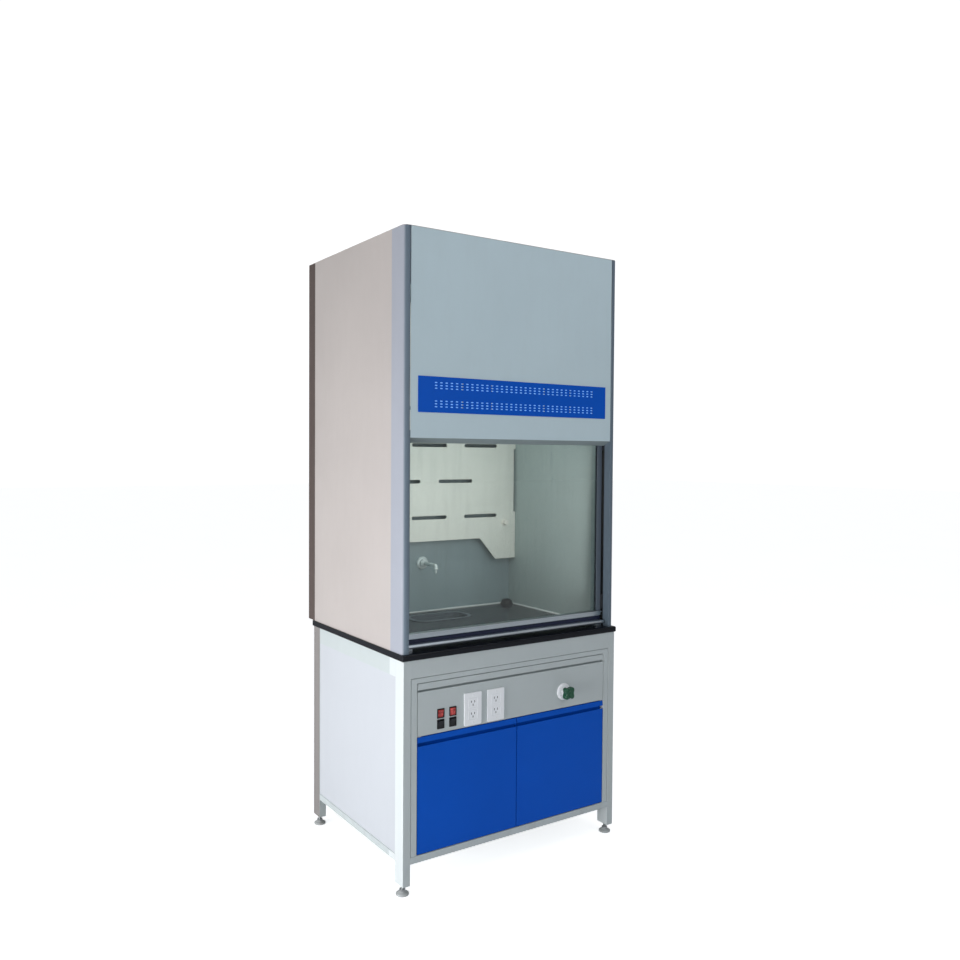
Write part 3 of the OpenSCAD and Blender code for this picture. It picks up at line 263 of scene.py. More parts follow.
# %% Outlines
def rounded(corners, radius, steps=6):
    """The closed outline through the corners with every corner rounded, all corners worked out at once."""
    p = np.asarray(corners, float)
    r = np.broadcast_to(np.asarray(radius, float), len(p))[:, None]
    back = np.roll(p, 1, 0) - p
    on = np.roll(p, -1, 0) - p
    back /= np.linalg.norm(back, axis=1, keepdims=True)
    on /= np.linalg.norm(on, axis=1, keepdims=True)
    half = np.arccos(np.clip((back * on).sum(1), -1, 1))[:, None] / 2
    middle = back + on
    centre = p + middle / np.linalg.norm(middle, axis=1, keepdims=True) * r / np.sin(half)
    first = p + back * r / np.tan(half) - centre
    last = p + on * r / np.tan(half) - centre
    start = np.arctan2(first[:, 1], first[:, 0])
    turn = (np.arctan2(last[:, 1], last[:, 0]) - start + np.pi) % TAU - np.pi
    t = start[:, None] + np.linspace(0, 1, steps)[None] * turn[:, None]
    ring = centre[:, None] + r[:, None] * np.stack([np.cos(t), np.sin(t)], -1)
    return ring.reshape(-1, 2)


def box_outline(width, height, radius, steps=6):
    """A rounded rectangle's outline, centred."""
    w, h = width / 2, height / 2
    return rounded([(-w, -h), (w, -h), (w, h), (-w, h)], radius, steps)


def moulding(layers, centre):
    """A stack of outlines of the same length, each a pair (outline, height along Y), closed by two fans."""
    rings = []
    for outline, height in [(layers[0][0] * 0, layers[0][1]), *layers, (layers[-1][0] * 0, layers[-1][1])]:
        rings.append(np.column_stack([outline, np.full(len(outline), height)]))
    cells = np.stack(rings)[..., [0, 2, 1]] * MM
    return cells.reshape(-1, 3) + np.asarray(centre, float), grid_faces(len(rings), len(rings[0]))


print("helpers ready: turned, tube, rounded, moulding")


# %% [markdown]
# ## Finishes
# Most of the hood is powder-coated sheet. Powder coat is nearly one colour, yet the eye sees a faint
# cloudiness, the orange peel of cured powder, and grime near the floor. Several finishes share these, so
# each effect is a node group built once, with named inputs, and each material gives it its own values.

# %% A short way to write nodes
class Net:
    """Adds nodes to a tree: inputs are given by name, as a socket to link or as a value to set."""

    def __init__(self, tree):
        self.tree = tree

    def put(self, socket, value):
        if isinstance(value, bpy.types.NodeSocket):
            self.tree.links.new(value, socket)
        else:
            socket.default_value = value

    def node(self, kind, settings=(), **inputs):
        made = self.tree.nodes.new("ShaderNode" + kind)
        for key, value in dict(settings).items():
            setattr(made, key, value)
        for key, value in inputs.items():
            self.put(made.inputs[key.replace("_", " ")], value)
        return made

    def math(self, operation, *values):
        made = self.tree.nodes.new("ShaderNodeMath")
        made.operation = operation
        for socket, value in zip(made.inputs, values):
            self.put(socket, value)
        return made.outputs[0]

    def scale(self, vector, factors):
        made = self.node("VectorMath", {"operation": "MULTIPLY"})
        self.put(made.inputs[0], vector)
        self.put(made.inputs[1], factors)
        return made.outputs[0]

    def noise(self, vector, scale, detail=3.0, rough=0.55):
        made = self.node("TexNoise", Vector=vector, Scale=scale, Detail=detail, Roughness=rough)
        return made.outputs["Factor" if "Factor" in made.outputs else "Fac"]

    def remap(self, value, low, high, to_low=0.0, to_high=1.0):
        made = self.node("MapRange", Value=value, From_Min=low, From_Max=high, To_Min=to_low, To_Max=to_high)
        return made.outputs["Result"]

    def part(self, vector, axis):
        return self.node("SeparateXYZ", Vector=vector).outputs[axis]

    def normal(self, axis):
        return self.part(self.node("NewGeometry").outputs["Normal"], axis)

    def mix(self, factor, first, second, blend="MIX"):
        made = self.node("Mix", {"data_type": "RGBA", "blend_type": blend})
        self.put(made.inputs[0], factor)
        self.put(made.inputs[6], first)
        self.put(made.inputs[7], second)
        return made.outputs[2]


def new_group(name, inputs, outputs):
    """An empty shader node group with its sockets: inputs are (name, kind, value), outputs (name, kind)."""
    group = bpy.data.node_groups.new(name, "ShaderNodeTree")
    for label, kind, value in inputs:
        socket = group.interface.new_socket(label, in_out="INPUT", socket_type="NodeSocket" + kind)
        if value is not None:
            socket.default_value = value
    for label, kind in outputs:
        group.interface.new_socket(label, in_out="OUTPUT", socket_type="NodeSocket" + kind)
    entry, leave = group.nodes.new("NodeGroupInput"), group.nodes.new("NodeGroupOutput")
    return group, Net(group), entry.outputs, leave.inputs


# %% [markdown]
# The first group is the cured skin of a paint or a moulding. A broad noise clouds the colour, a fine one
# is the orange peel, and the height above the floor decides how much grime and scuffing is left on it.

# %% Group: skin
SKIN, net, given, result = new_group(
    "cured skin",
    [("Coordinates", "Vector", None), ("Colour", "Color", (0.5, 0.5, 0.5, 1)), ("Cloud", "Float", 0.04),
     ("Cloud Size", "Float", 2.4), ("Peel Size", "Float", 180.0), ("Roughness", "Float", 0.4),
     ("Grime", "Float", 0.25)],
    [("Colour", "Color"), ("Roughness", "Float"), ("Height", "Float")])
broad = net.noise(given["Coordinates"], given["Cloud Size"], 4.0)
fine = net.noise(given["Coordinates"], given["Peel Size"], 2.0)
smear = net.noise(net.scale(given["Coordinates"], (9, 9, 2.2)), 2.6, 6.0, 0.7)
swing = net.math("MULTIPLY", net.remap(broad, 0.3, 0.7, -1, 1), given["Cloud"])
shade = net.node("VectorMath", {"operation": "SCALE"}, Vector=given["Colour"],
                 Scale=net.math("ADD", swing, 1.0))
low = net.remap(net.part(given["Coordinates"], "Z"), 0.02, 0.42, 1.0, 0.12)
dirty = net.math("MULTIPLY", net.math("MULTIPLY", net.remap(smear, 0.46, 0.78), low), given["Grime"])
net.put(result["Colour"], net.mix(dirty, shade.outputs["Vector"], paint("8A8072")))
rough_swing = net.math("MULTIPLY", net.math("SUBTRACT", smear, 0.5), 0.22)
net.put(result["Roughness"], net.math("ADD", given["Roughness"], net.math("ADD", rough_swing, dirty)))
net.put(result["Height"], fine)

# %% [markdown]
# The second group is a drawn or brushed grain: noise that is stretched along one direction, so the
# coordinates are squeezed along it first. It serves aluminium extrusions, zinc sheet and turned steel.

# %% Group: grain
GRAIN, net, given, result = new_group(
    "drawn grain",
    [("Coordinates", "Vector", None), ("Stretch", "Vector", (1, 60, 60)),
     ("Colour", "Color", (0.6, 0.6, 0.6, 1)), ("Depth", "Float", 0.08), ("Roughness", "Float", 0.3)],
    [("Colour", "Color"), ("Roughness", "Float"), ("Height", "Float")])
lines = net.noise(net.scale(given["Coordinates"], given["Stretch"]), 6.0, 5.0, 0.6)
blotch = net.noise(given["Coordinates"], 7.0, 3.0)
swing = net.math("MULTIPLY", net.math("SUBTRACT", net.math("ADD", lines, blotch), 1.0), given["Depth"])
shade = net.node("VectorMath", {"operation": "SCALE"}, Vector=given["Colour"],
                 Scale=net.math("ADD", swing, 1.0))
net.put(result["Colour"], shade.outputs["Vector"])
net.put(result["Roughness"], net.math("ADD", given["Roughness"], net.math("MULTIPLY", swing, 1.4)))
net.put(result["Height"], lines)

# %% [markdown]
# The third group is dust that has settled on upward faces, and the fourth is the speckle of a moulded
# resin. Dust reads the surface normal, so a lid gathers it and a wall does not.

# %% Groups: dust and speckle
DUST, net, given, result = new_group(
    "settled dust",
    [("Coordinates", "Vector", None), ("Amount", "Float", 0.5)], [("Mask", "Float")])
lying = net.remap(net.normal("Z"), 0.55, 0.98)
drift = net.remap(net.noise(given["Coordinates"], 11.0, 6.0, 0.68), 0.38, 0.8)
net.put(result["Mask"], net.math("MULTIPLY", net.math("MULTIPLY", lying, drift), given["Amount"]))

SPECKLE, net, given, result = new_group(
    "resin speckle",
    [("Coordinates", "Vector", None), ("Colour", "Color", (0.02, 0.02, 0.02, 1)),
     ("Fleck", "Color", (0.1, 0.1, 0.1, 1)), ("Size", "Float", 500.0), ("Amount", "Float", 0.3)],
    [("Colour", "Color"), ("Height", "Float")])
cells = net.node("TexVoronoi", Vector=given["Coordinates"], Scale=given["Size"])
fleck = net.math("MULTIPLY", net.remap(cells.outputs["Distance"], 0.05, 0.32, 1, 0), given["Amount"])
net.put(result["Colour"], net.mix(fleck, given["Colour"], given["Fleck"]))
net.put(result["Height"], net.noise(given["Coordinates"], 90.0, 3.0, 0.6))
print("groups:", [g.name for g in bpy.data.node_groups])


# %% [markdown]
# A material is made in two steps: a Principled shader with its constant values set on its own sockets,
# and then a group whose outputs feed colour, roughness and bump. MATERIALS keeps one per material slot.

# %% Material makers
MATERIALS = {}


def start(slot, **constants):
    """A new material with its Principled shader, its Net and its Object coordinates."""
    made = bpy.data.materials.new(slot)
    made.use_nodes = True
    shader = made.node_tree.nodes["Principled BSDF"]
    net = Net(made.node_tree)
    for key, value in constants.items():
        shader.inputs[key.replace("_", " ")].default_value = value
    MATERIALS[slot] = made
    return net, shader, net.node("TexCoord").outputs["Object"]


def bump(net, shader, height, strength, distance):
    """Feeds a height into the shader's normal."""
    made = net.node("Bump", Strength=strength, Distance=distance, Height=height)
    net.put(shader.inputs["Normal"], made.outputs["Normal"])


def tint(net, shader, mask, colour, blend="MIX"):
    """Mixes another colour into the base colour where the mask is 1."""
    colour_in = shader.inputs["Base Color"]
    net.put(colour_in, net.mix(mask, colour_in.links[0].from_socket, colour, blend))


def use_group(net, group, **inputs):
    """Places a node group in a material with this material's own values."""
    made = net.node("Group")
    made.node_tree = group
    for key, value in inputs.items():
        net.put(made.inputs[key.replace("_", " ")], value)
    return made.outputs


def skinned(slot, colour, rough, cloud=0.035, peel=0.06, size=180.0, grime=0.25, dust=0.0, **constants):
    """A painted or moulded finish: the skin group, with dust on top where it is asked for."""
    net, shader, where = start(slot, **constants)
    skin = use_group(net, SKIN, Coordinates=where, Colour=paint(colour), Cloud=cloud, Peel_Size=size,
                     Roughness=rough, Grime=grime)
    shown = skin["Colour"]
    if dust:
        mask = use_group(net, DUST, Coordinates=where, Amount=dust)["Mask"]
        shown = net.mix(mask, shown, paint("A7A299"))
    net.put(shader.inputs["Base Color"], shown)
    net.put(shader.inputs["Roughness"], skin["Roughness"])
    bump(net, shader, skin["Height"], peel, 0.0006)
    return net, shader, where


def drawn(slot, colour, rough, stretch, depth=0.3, strength=0.1, **constants):
    """A bare or anodised metal with a drawn grain."""
    net, shader, where = start(slot, Metallic=1.0, **constants)
    grain = use_group(net, GRAIN, Coordinates=where, Colour=paint(colour), Stretch=stretch, Depth=depth,
                      Roughness=rough)
    net.put(shader.inputs["Base Color"], grain["Colour"])
    net.put(shader.inputs["Roughness"], grain["Roughness"])
    bump(net, shader, grain["Height"], strength, 0.0004)
    return net, shader, where


# %% [markdown]
# ### Paints
# The casing is warm white above the worktop and cooler below it, the base frame a light grey, the posts
# a blue grey, and the doors and the vent strip a strong blue with little gloss. A face's direction and
# place also paint light and shade into some colours: painted shade on downward faces such as the lip
# under the fascia, on the sides of the rear posts and rear legs and on the fronts of the posts, and a
# painted highlight on the sides of the front legs.

# %% Paints
def painted_side_light(net, shader, where, colour, start_y, blend=0.004):
    """Paints shade or light onto the side faces of uprights behind start_y, or ahead of it if blend is negative:
    painted shade where the colour is darker, a painted highlight where it is lighter.
    """
    behind = net.remap(net.part(where, "Y"), start_y, start_y + blend)
    sideways = net.remap(net.math("ABSOLUTE", net.normal("X")), 0.5, 0.9)
    tint(net, shader, net.math("MULTIPLY", behind, sideways), paint(colour))


net, shader, where = skinned("panel_white", "BCB5B1", 0.5, cloud=0.03, peel=0.06, grime=0.2, dust=0.3,
                             Specular_IOR_Level=0.3)
tint(net, shader, net.remap(net.part(where, "Z"), 0.84, 0.85, 1.0, 0.0), paint("C3C7CC"))
net, shader, where = skinned("frame_grey", "C0C8C8", 0.5, cloud=0.02, peel=0.05, grime=0.25,
                             Specular_IOR_Level=0.3)
# Painted shade: the side faces of the rear legs and rails, behind Y 0.315, are darker.
painted_side_light(net, shader, where, "8B8785", 0.315)
# Painted highlight: the side faces of the front legs, ahead of Y -0.3, are lighter.
painted_side_light(net, shader, where, "D4DADA", -0.3, -0.004)
net, shader, where = skinned("fascia_grey", "C6D8DE", 0.5, cloud=0.02, peel=0.05, Specular_IOR_Level=0.3)
# Painted shade: downward faces, such as the lip under the fascia, are darker.
tint(net, shader, net.remap(net.normal("Z"), -0.45, -0.2, 1.0, 0.0), paint("8C989A"))
net, shader, where = skinned("post_grey", "A6AAB4", 0.5, cloud=0.03, peel=0.04, Specular_IOR_Level=0.25)
# Painted shade: the side faces of the rear posts, behind Y 0.33, are a dark brown grey.
painted_side_light(net, shader, where, "5A4F4B", 0.33)
# Painted shade: every post face that does not face outwards, mostly the front faces, is a dark slate.
outward = net.math("MULTIPLY", net.normal("X"), net.math("SIGN", net.part(where, "X")))
tint(net, shader, net.remap(outward, 0.6, 0.9, 1.0, 0.0), paint("6A7884"))
skinned("blue_paint", "0456C4", 0.36, cloud=0.04, peel=0.04, grime=0.0, Specular_IOR_Level=0.12)
skinned("collar_grey", "C6CACB", 0.44, dust=0.6)
skinned("sash_dark", "5B6570", 0.45, cloud=0.05, peel=0.03)
print(len(MATERIALS), "paints")

# %% [markdown]
# ### Chamber boards
# The chamber is lined with smooth phenolic board. It is duller than paint, and it keeps faint vertical
# runs where vapour has condensed, which a noise stretched along Z gives.

# %% Boards
def board(slot, colour, rough, runs):
    """A laminate board: skin, darkened a little by long vertical runs."""
    net, shader, where = skinned(slot, colour, rough, cloud=0.04, peel=0.02, size=90.0, grime=0.0,
                                 Specular_IOR_Level=0.35)
    streak = net.remap(net.noise(net.scale(where, (26, 26, 1.6)), 1.7, 5.0, 0.6), 0.45, 0.85, 0, runs)
    tint(net, shader, streak, paint("6F7A76"))


board("baffle_cream", "DFE3DB", 0.45, 0.2)
board("back_wall_grey", "8D9EA2", 0.35, 0.3)
board("liner_grey", "A3B3B2", 0.3, 0.25)

# %% [markdown]
# ### Worktop and mouldings
# The worktop is black resin with a satin shine, tiny flecks and rubbed patches where glassware has been
# pushed about. Mouldings differ in gloss and in how fine their spark-eroded texture is.

# %% Resin and plastics
net, shader, where = start("worktop_black", Specular_IOR_Level=0.3)
resin = use_group(net, SPECKLE, Coordinates=where, Colour=paint("0C1018"), Fleck=paint("3A414A"), Size=260.0,
                  Amount=0.25)
rubbed = net.remap(net.noise(net.scale(where, (3, 6, 3)), 2.2, 6.0, 0.7), 0.4, 0.75)
dusty = use_group(net, DUST, Coordinates=where, Amount=0.015)["Mask"]
net.put(shader.inputs["Base Color"], net.mix(dusty, resin["Colour"], paint("6C7072")))
net.put(shader.inputs["Roughness"], net.remap(rubbed, 0, 1, 0.14, 0.3))
bump(net, shader, resin["Height"], 0.03, 0.0003)

skinned("sink_grey", "566067", 0.42, cloud=0.08, peel=0.3, size=260.0, grime=0.0)
skinned("service_white", "F6F8FA", 0.3, cloud=0.02, peel=0.05, grime=0.1)
skinned("faucet_grey", "CFDCDC", 0.26, cloud=0.03, peel=0.1, grime=0.0, Coat_Weight=0.3)
skinned("nylon_white", "E9E8E0", 0.45, cloud=0.04, peel=0.1)
skinned("port_black", "0E1013", 0.4, cloud=0.1, peel=0.35, size=300.0, grime=0.0, Specular_IOR_Level=0.3)
skinned("switch_black", "101216", 0.34, cloud=0.08, peel=0.3, size=500.0, grime=0.05)
skinned("track_black", "24282D", 0.5, cloud=0.1, peel=0.2)
# The sill seal is a real part; its very dark navy is also painted shade for the gap between the sash rail and the
# airfoil.
skinned("seal_navy", "0E1A3C", 0.55, cloud=0.12, peel=0.4, size=300.0)
skinned("foot_grey", "B9BDBD", 0.5, cloud=0.08, peel=0.3, size=300.0, grime=0.6)
skinned("knob_green", "0A5034", 0.3, cloud=0.05, peel=0.1, grime=0.05, Coat_Weight=0.2)

net, shader, where = skinned("conduit_grey", "5D646B", 0.5, cloud=0.06)
rings = net.node("TexWave", {"bands_direction": "DIAGONAL"}, Vector=where, Scale=55.0)
bump(net, shader, rings.outputs["Fac"], 0.6, 0.0012)

net, shader, where = start("rocker_red", Roughness=0.22, Coat_Weight=0.3, Emission_Strength=0.35)
glow = net.node("TexNoise", Vector=where, Scale=60.0, Detail=3.0)
lamp = net.remap(glow.outputs[0], 0.35, 0.7)
net.put(shader.inputs["Base Color"], net.mix(lamp, paint("7A0D10"), paint("C23A38")))
net.put(shader.inputs["Emission Color"], net.mix(lamp, paint("4A0506"), paint("D86A60")))

# %% [markdown]
# ### Metals, rope and glass
# Zinc-plated sheet shows spangles, which are Voronoi cells of slightly different brightness. The sash's
# aluminium is drawn along X. A wire rope's strands run round it in a helix, so the pattern follows the
# rope's own UV map: sine of (strands times u plus turns times v).

# %% Metals
drawn("sash_aluminium", "CDD6DC", 0.34, (2, 260, 260), depth=0.22)
drawn("screw_steel", "B9BBBC", 0.3, (80, 80, 80), depth=0.3, strength=0.2)
drawn("brass_pipe", "C49A55", 0.3, (60, 60, 6), depth=0.5)
net, shader, where = drawn("zinc_sheet", "B4B8BB", 0.42, (30, 30, 30), depth=0.12)
spangle = net.node("TexVoronoi", Vector=where, Scale=110.0)
tint(net, shader, 0.22, spangle.outputs["Color"], "SOFT_LIGHT")
skinned("weight_iron", "3A3D40", 0.6, cloud=0.15, peel=0.9, size=180.0, Metallic=0.3)

net, shader, where = start("cable_steel", Metallic=1.0)
across = net.node("SeparateXYZ", Vector=net.tree.nodes["Texture Coordinate"].outputs["UV"]).outputs
turns = net.math("ADD", net.math("MULTIPLY", across["X"], 6.0), net.math("MULTIPLY", across["Y"], 110.0))
strand = net.remap(net.math("SINE", net.math("MULTIPLY", turns, float(TAU))), -1, 1)
net.put(shader.inputs["Base Color"], net.mix(strand, paint("5D6164"), paint("C2C6C8")))
net.put(shader.inputs["Roughness"], net.remap(strand, 0, 1, 0.6, 0.28))
bump(net, shader, strand, 0.8, 0.0006)

# %% [markdown]
# Glass is the tricky one. Real refraction would block the lamps, because Cycles can't aim at a light
# through it. A flat pane hardly bends light anyway, so it is a clear tint and a sharp reflection, mixed by
# Fresnel, with a breath of haze where hands and sponges have left it. The lamp's cover is milky instead.

# %% Glass
sash = bpy.data.materials.new("sash_glass")
sash.use_nodes = True
net = Net(sash.node_tree)
where = net.node("TexCoord").outputs["Object"]
net.tree.nodes.remove(net.tree.nodes["Principled BSDF"])
clear = net.node("BsdfTransparent", Color=paint("EFF4F2"))
shine = net.node("BsdfGlossy", Color=(1, 1, 1, 1), Roughness=0.02)
haze = net.node("BsdfDiffuse", Color=paint("C9D3D0"))
wiped = net.remap(net.noise(net.scale(where, (3, 3, 1.2)), 2.4, 5.0, 0.6), 0.35, 0.8, 0.005, 0.025)
veiled = net.node("MixShader")
net.put(veiled.inputs[0], wiped)
net.put(veiled.inputs[1], clear.outputs[0])
net.put(veiled.inputs[2], haze.outputs[0])
pane = net.node("MixShader")
net.put(pane.inputs[0], net.node("Fresnel", IOR=1.45).outputs[0])
net.put(pane.inputs[1], veiled.outputs[0])
net.put(pane.inputs[2], shine.outputs[0])
net.tree.links.new(pane.outputs[0], net.tree.nodes["Material Output"].inputs["Surface"])
MATERIALS["sash_glass"] = sash

net, shader, where = start("lamp_glass", Roughness=0.45, Emission_Strength=1.6)
shader.inputs["Emission Color"].default_value = paint("F4FAFF")
ribs = net.math("SINE", net.math("MULTIPLY", net.part(where, "X"), 1400.0))
net.put(shader.inputs["Base Color"], net.mix(net.remap(ribs, -1, 1), paint("E6ECEC"), paint("F6FAFA")))
bump(net, shader, ribs, 0.3, 0.0008)
missing = sorted(set(SLOT_OF.values()) - set(MATERIALS))
print(len(MATERIALS), "finishes;", "without one:", missing)

# %% Paint the frame
for name, node in NODES.items():
    node.data.materials.clear()
    node.data.materials.append(MATERIALS[SLOT_OF[name]])


# %% [markdown]
# ## Rolled edges
# A folded or moulded edge is never razor sharp: its small radius catches a thin line of light, and that
# line is what tells sheet metal from paper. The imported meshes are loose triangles, so a bevel can't work
# on them directly. We merge a copy, dissolve the seams inside each flat face, and bevel the copy.

# %% Merged and bevelled copies
def welded(node):
    """A node's triangles with points at the same micrometre made one, and the collapsed ones left out."""
    data = NODES[node].data
    places = np.empty(len(data.vertices) * 3)
    corners = np.empty(len(data.loops), int)
    data.vertices.foreach_get("co", places)
    data.loops.foreach_get("vertex_index", corners)
    points, index = np.unique(np.round(places.reshape(-1, 3), 6), axis=0, return_inverse=True)
    triangles = index.reshape(-1)[corners].reshape(-1, 3)
    a, b, c = triangles.T
    return points, triangles[(a != b) & (b != c) & (c != a)]


EDGE_DEGREES = 32.0


def softened(node, width, segments=2):
    """Stands a bevelled copy in for a node. Width is the bevel's, in millimetres."""
    points, triangles = welded(node)
    mesh = bpy.data.meshes.new(node + "_rolled")
    mesh.from_pydata(points.tolist(), [], triangles.tolist())
    work = bmesh.new()
    work.from_mesh(mesh)
    bmesh.ops.dissolve_limit(work, angle_limit=math.radians(0.4), verts=work.verts, edges=work.edges)
    work.to_mesh(mesh)
    work.free()
    mesh.polygons.foreach_set("use_smooth", np.ones(len(mesh.polygons), bool))
    mesh.materials.append(MATERIALS[SLOT_OF[node]])
    made = stand(node + "_rolled", mesh)
    edge = made.modifiers.new("rolled edge", "BEVEL")
    edge.width = width * MM
    edge.segments = segments
    edge.limit_method = "ANGLE"
    edge.angle_limit = math.radians(EDGE_DEGREES)
    edge.use_clamp_overlap = False
    edge.harden_normals = True
    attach(made, BODY_OF[node])
    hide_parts(node)
    return len(mesh.polygons)


SHEET_EDGES = {
    "base_legs": 0.7, "base_rails": 0.7, "base_panels": 0.4, "cabinet_face_frame": 0.6, "service_panel": 0.4,
    "fascia_panel": 0.4, "vent_strip": 0.3, "side_panels": 0.4, "rear_panel": 0.4, "roof_panel": 0.4,
    "baffle_lower": 0.8, "baffle_upper": 0.8, "side_liners": 0.8, "back_liner": 0.6, "ceiling_liner": 0.6,
    "worktop": 0.8, "airfoil_sill": 0.8, "sill_seal": 0.8, "sash_bottom_rail": 0.8, "sash_frame": 0.8,
    "sash_guides": 0.8, "counterweight": 1.5, "door_left": 0.45, "door_right": 0.45, "corner_posts": 0.3,
    "electrical_box": 0.4, "lamp_housing": 0.5, "cup_sink": 1.2, "pulley_brackets": 0.5,
    "counterweight_rails": 0.4, "cabinet_carcass": 0.3, "sash_tracks": 0.3,
}
counts = {node: softened(node, width) for node, width in SHEET_EDGES.items()}
print("rolled edges on", len(counts), "nodes,", sum(counts.values()), "faces before the bevels")


# %% [markdown]
# ## Water outlet above the sink
# On the real hood an epoxy-coated arm leaves a rosette on the back wall, turns down and ends in a
# serrated nozzle for a hose. Turned profiles make the rosette, the hexagon nut and the nozzle, and one
# tube with a smooth bend makes the arm. A swept tube keeps its roundness through the bend.

# %% Faucet
lo, hi = corners("faucet")
ARM_X = (lo[0] + hi[0]) / 2
ROSETTE_R = (hi[0] - lo[0]) / 2 / MM
ARM_Z = hi[2] - ROSETTE_R * MM
TIP_IN, ARM_R, TEETH = 11, 8.6, 3
WALL_Y, TIP_Y = hi[1], lo[1] + TIP_IN * MM
NOZZLE_END = lo[2]
BEND_R, COLLAR_DROP = 10 * MM, 10.5
bend = arc((TIP_Y + BEND_R, ARM_Z - BEND_R), BEND_R, 90, 180, 14)
straight_run = np.linspace(WALL_Y, TIP_Y + BEND_R, 10)[:-1]
drop = np.linspace(ARM_Z - BEND_R, ARM_Z - 15 * MM, 4)[1:]
arm = np.concatenate([np.stack([straight_run, np.full(9, ARM_Z)], 1), bend,
                      np.stack([np.full(3, TIP_Y), drop], 1)])
arm = np.column_stack([np.full(len(arm), ARM_X), arm])
rosette = [(0, 0), (29, 0), (29, -2.5), (28, -4.6), (25, -7), (20, -8.6), (16, -9.6), (0, -9.6)]
nut = [(0, -8), (16.6, -8, 1), (18, -9.2, 1), (18, -18, 1), (16.6, -20, 0.3), (13, -22, 0), (12.4, -25, 0),
       (9, -27, 0), (0, -27, 0)]
collar = [(0, 0), (10.2, 0), (11, -1), (11, -5.4), (10.2, -6.4), (8, -7)]
tip = (ARM_Z - NOZZLE_END) / MM - COLLAR_DROP
tooth = (tip - 7.4) / TEETH
teeth = [row for i in range(TEETH) for row in ((6.6, -7.5 - tooth * i), (4.7, -7.3 - tooth * (i + 1)))]
nozzle = [*collar, (6.2, -7.2), *teeth[:-1], (4.6, -tip), (2.6, -tip), (2.6, -tip + 8), (0, -tip + 8)]
piece("water_outlet", [
    turned(rosette, (ARM_X, WALL_Y, ARM_Z), "y", 40),
    turned(nut, (ARM_X, WALL_Y, ARM_Z), "y", 36, lobes=6, swing=0.055),
    tube(arm, ARM_R * MM, (1, 0, 0), 24),
    turned(nozzle, (ARM_X, TIP_Y, ARM_Z - COLLAR_DROP * MM), "z", 28),
], "faucet_grey", "root", ["faucet"])
print("arm reaches", round((WALL_Y - TIP_Y) / MM), "mm from the wall")

# %% [markdown]
# ## Valve, rosette and knob
# The tap's body is fixed behind the panel, with a white rosette and a ribbed bonnet in front. The green
# knob turns on its spindle, so it is a piece of its own that rides on the knob's body. Its four finger
# lobes are a cosine in the radius, which fades out towards the domed front.

# %% Valve
lo, hi = corners("water_valve")
VALVE_X = (lo[0] + hi[0]) / 2
VALVE_Z = float(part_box("valve_knob")[0].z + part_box("valve_knob")[1].z) / 2
PANEL_Y = float(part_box("service_panel")[0].y)
front, back = (lo[1] - PANEL_Y) / MM, (hi[1] - PANEL_Y) / MM
rosette_r = (hi[0] - lo[0]) / 2 / MM
hub = [(4.1, front + 20), (4.1, front), (12.5, front), (14, front + 1), (14, front + 3), (13.2, front + 3.6),
       (14, front + 4.2), (14, front + 6), (13.2, front + 6.6), (15, front + 8), (16, front + 11.5),
       (24, front + 12.6), (rosette_r - 2.4, front + 15.2), (rosette_r - 0.5, front + 17.2),
       (rosette_r, front + 19.2), (rosette_r, -0.05), (14, -0.05), (14, back - 2), (12, back), (4.1, back),
       (4.1, front + 20)]
inlet = [(0, 30), (10, 30), (10, 4), (8.6, 2), (8.6, 0), (0, 0)]
piece("tap_body", [
    turned(hub, (VALVE_X, PANEL_Y, VALVE_Z), "y", 44),
    turned(inlet, (VALVE_X, PANEL_Y + 40 * MM, lo[2]), "z", 28),
], "service_white", "root", ["water_valve"])

lo, hi = corners("valve_knob")
length, back_end = (hi[1] - lo[1]) / MM, (float(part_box("water_valve")[0].y) - lo[1]) / MM - 1
knob = [(0, 1.6, 0), (7.6, 1.5, 0), (10.6, 1.1, 0), (11.4, 0.3, 0), (13.5, 0, 0.2), (18.8, 0.5, 0.5),
        (22, 2, 0.85), (23.5, 4.4, 1), (24, 8, 1), (24, back_end - 5, 1), (23.2, back_end - 2.2, 0.9),
        (21.2, back_end - 0.4, 0.7), (18, back_end, 0.4), (4, back_end, 0), (4, length, 0), (0, length, 0)]
knob_at, cap_at = ((VALVE_X, lo[1] + sunk * MM, VALVE_Z) for sunk in (0, 0.8))
piece("tap_knob", [turned(knob, knob_at, "y", 96, lobes=4, swing=0.2, phase=math.radians(45))],
      "knob_green", "water_knob", ["valve_knob"])
cap = [(0, -0.4), (5.6, -0.3), (6.6, 0.1), (7, 1), (7, 3), (0, 3)]
piece("tap_knob_cap", [turned(cap, cap_at, "y", 32)], "knob_green", "water_knob")

# %% [markdown]
# ## Switches
# Four rocker switches sit in square black bezels, lit red ones above and black ones below. A rocker's
# face is a shallow scoop: along its height the surface dips as (z / half) squared, and its corners are
# rounded. The face is a grid over two parameters, closed by a skirt, and it carries a small raised mark.

# %% Rockers
ROCKER_HALF, REST_TILT = (11.4, 13.4), 10


def pivot_of(body):
    """The place of the joint that moves a body."""
    return next(j for j in frame["joints"] if j["child"] == body)["pos_m"]


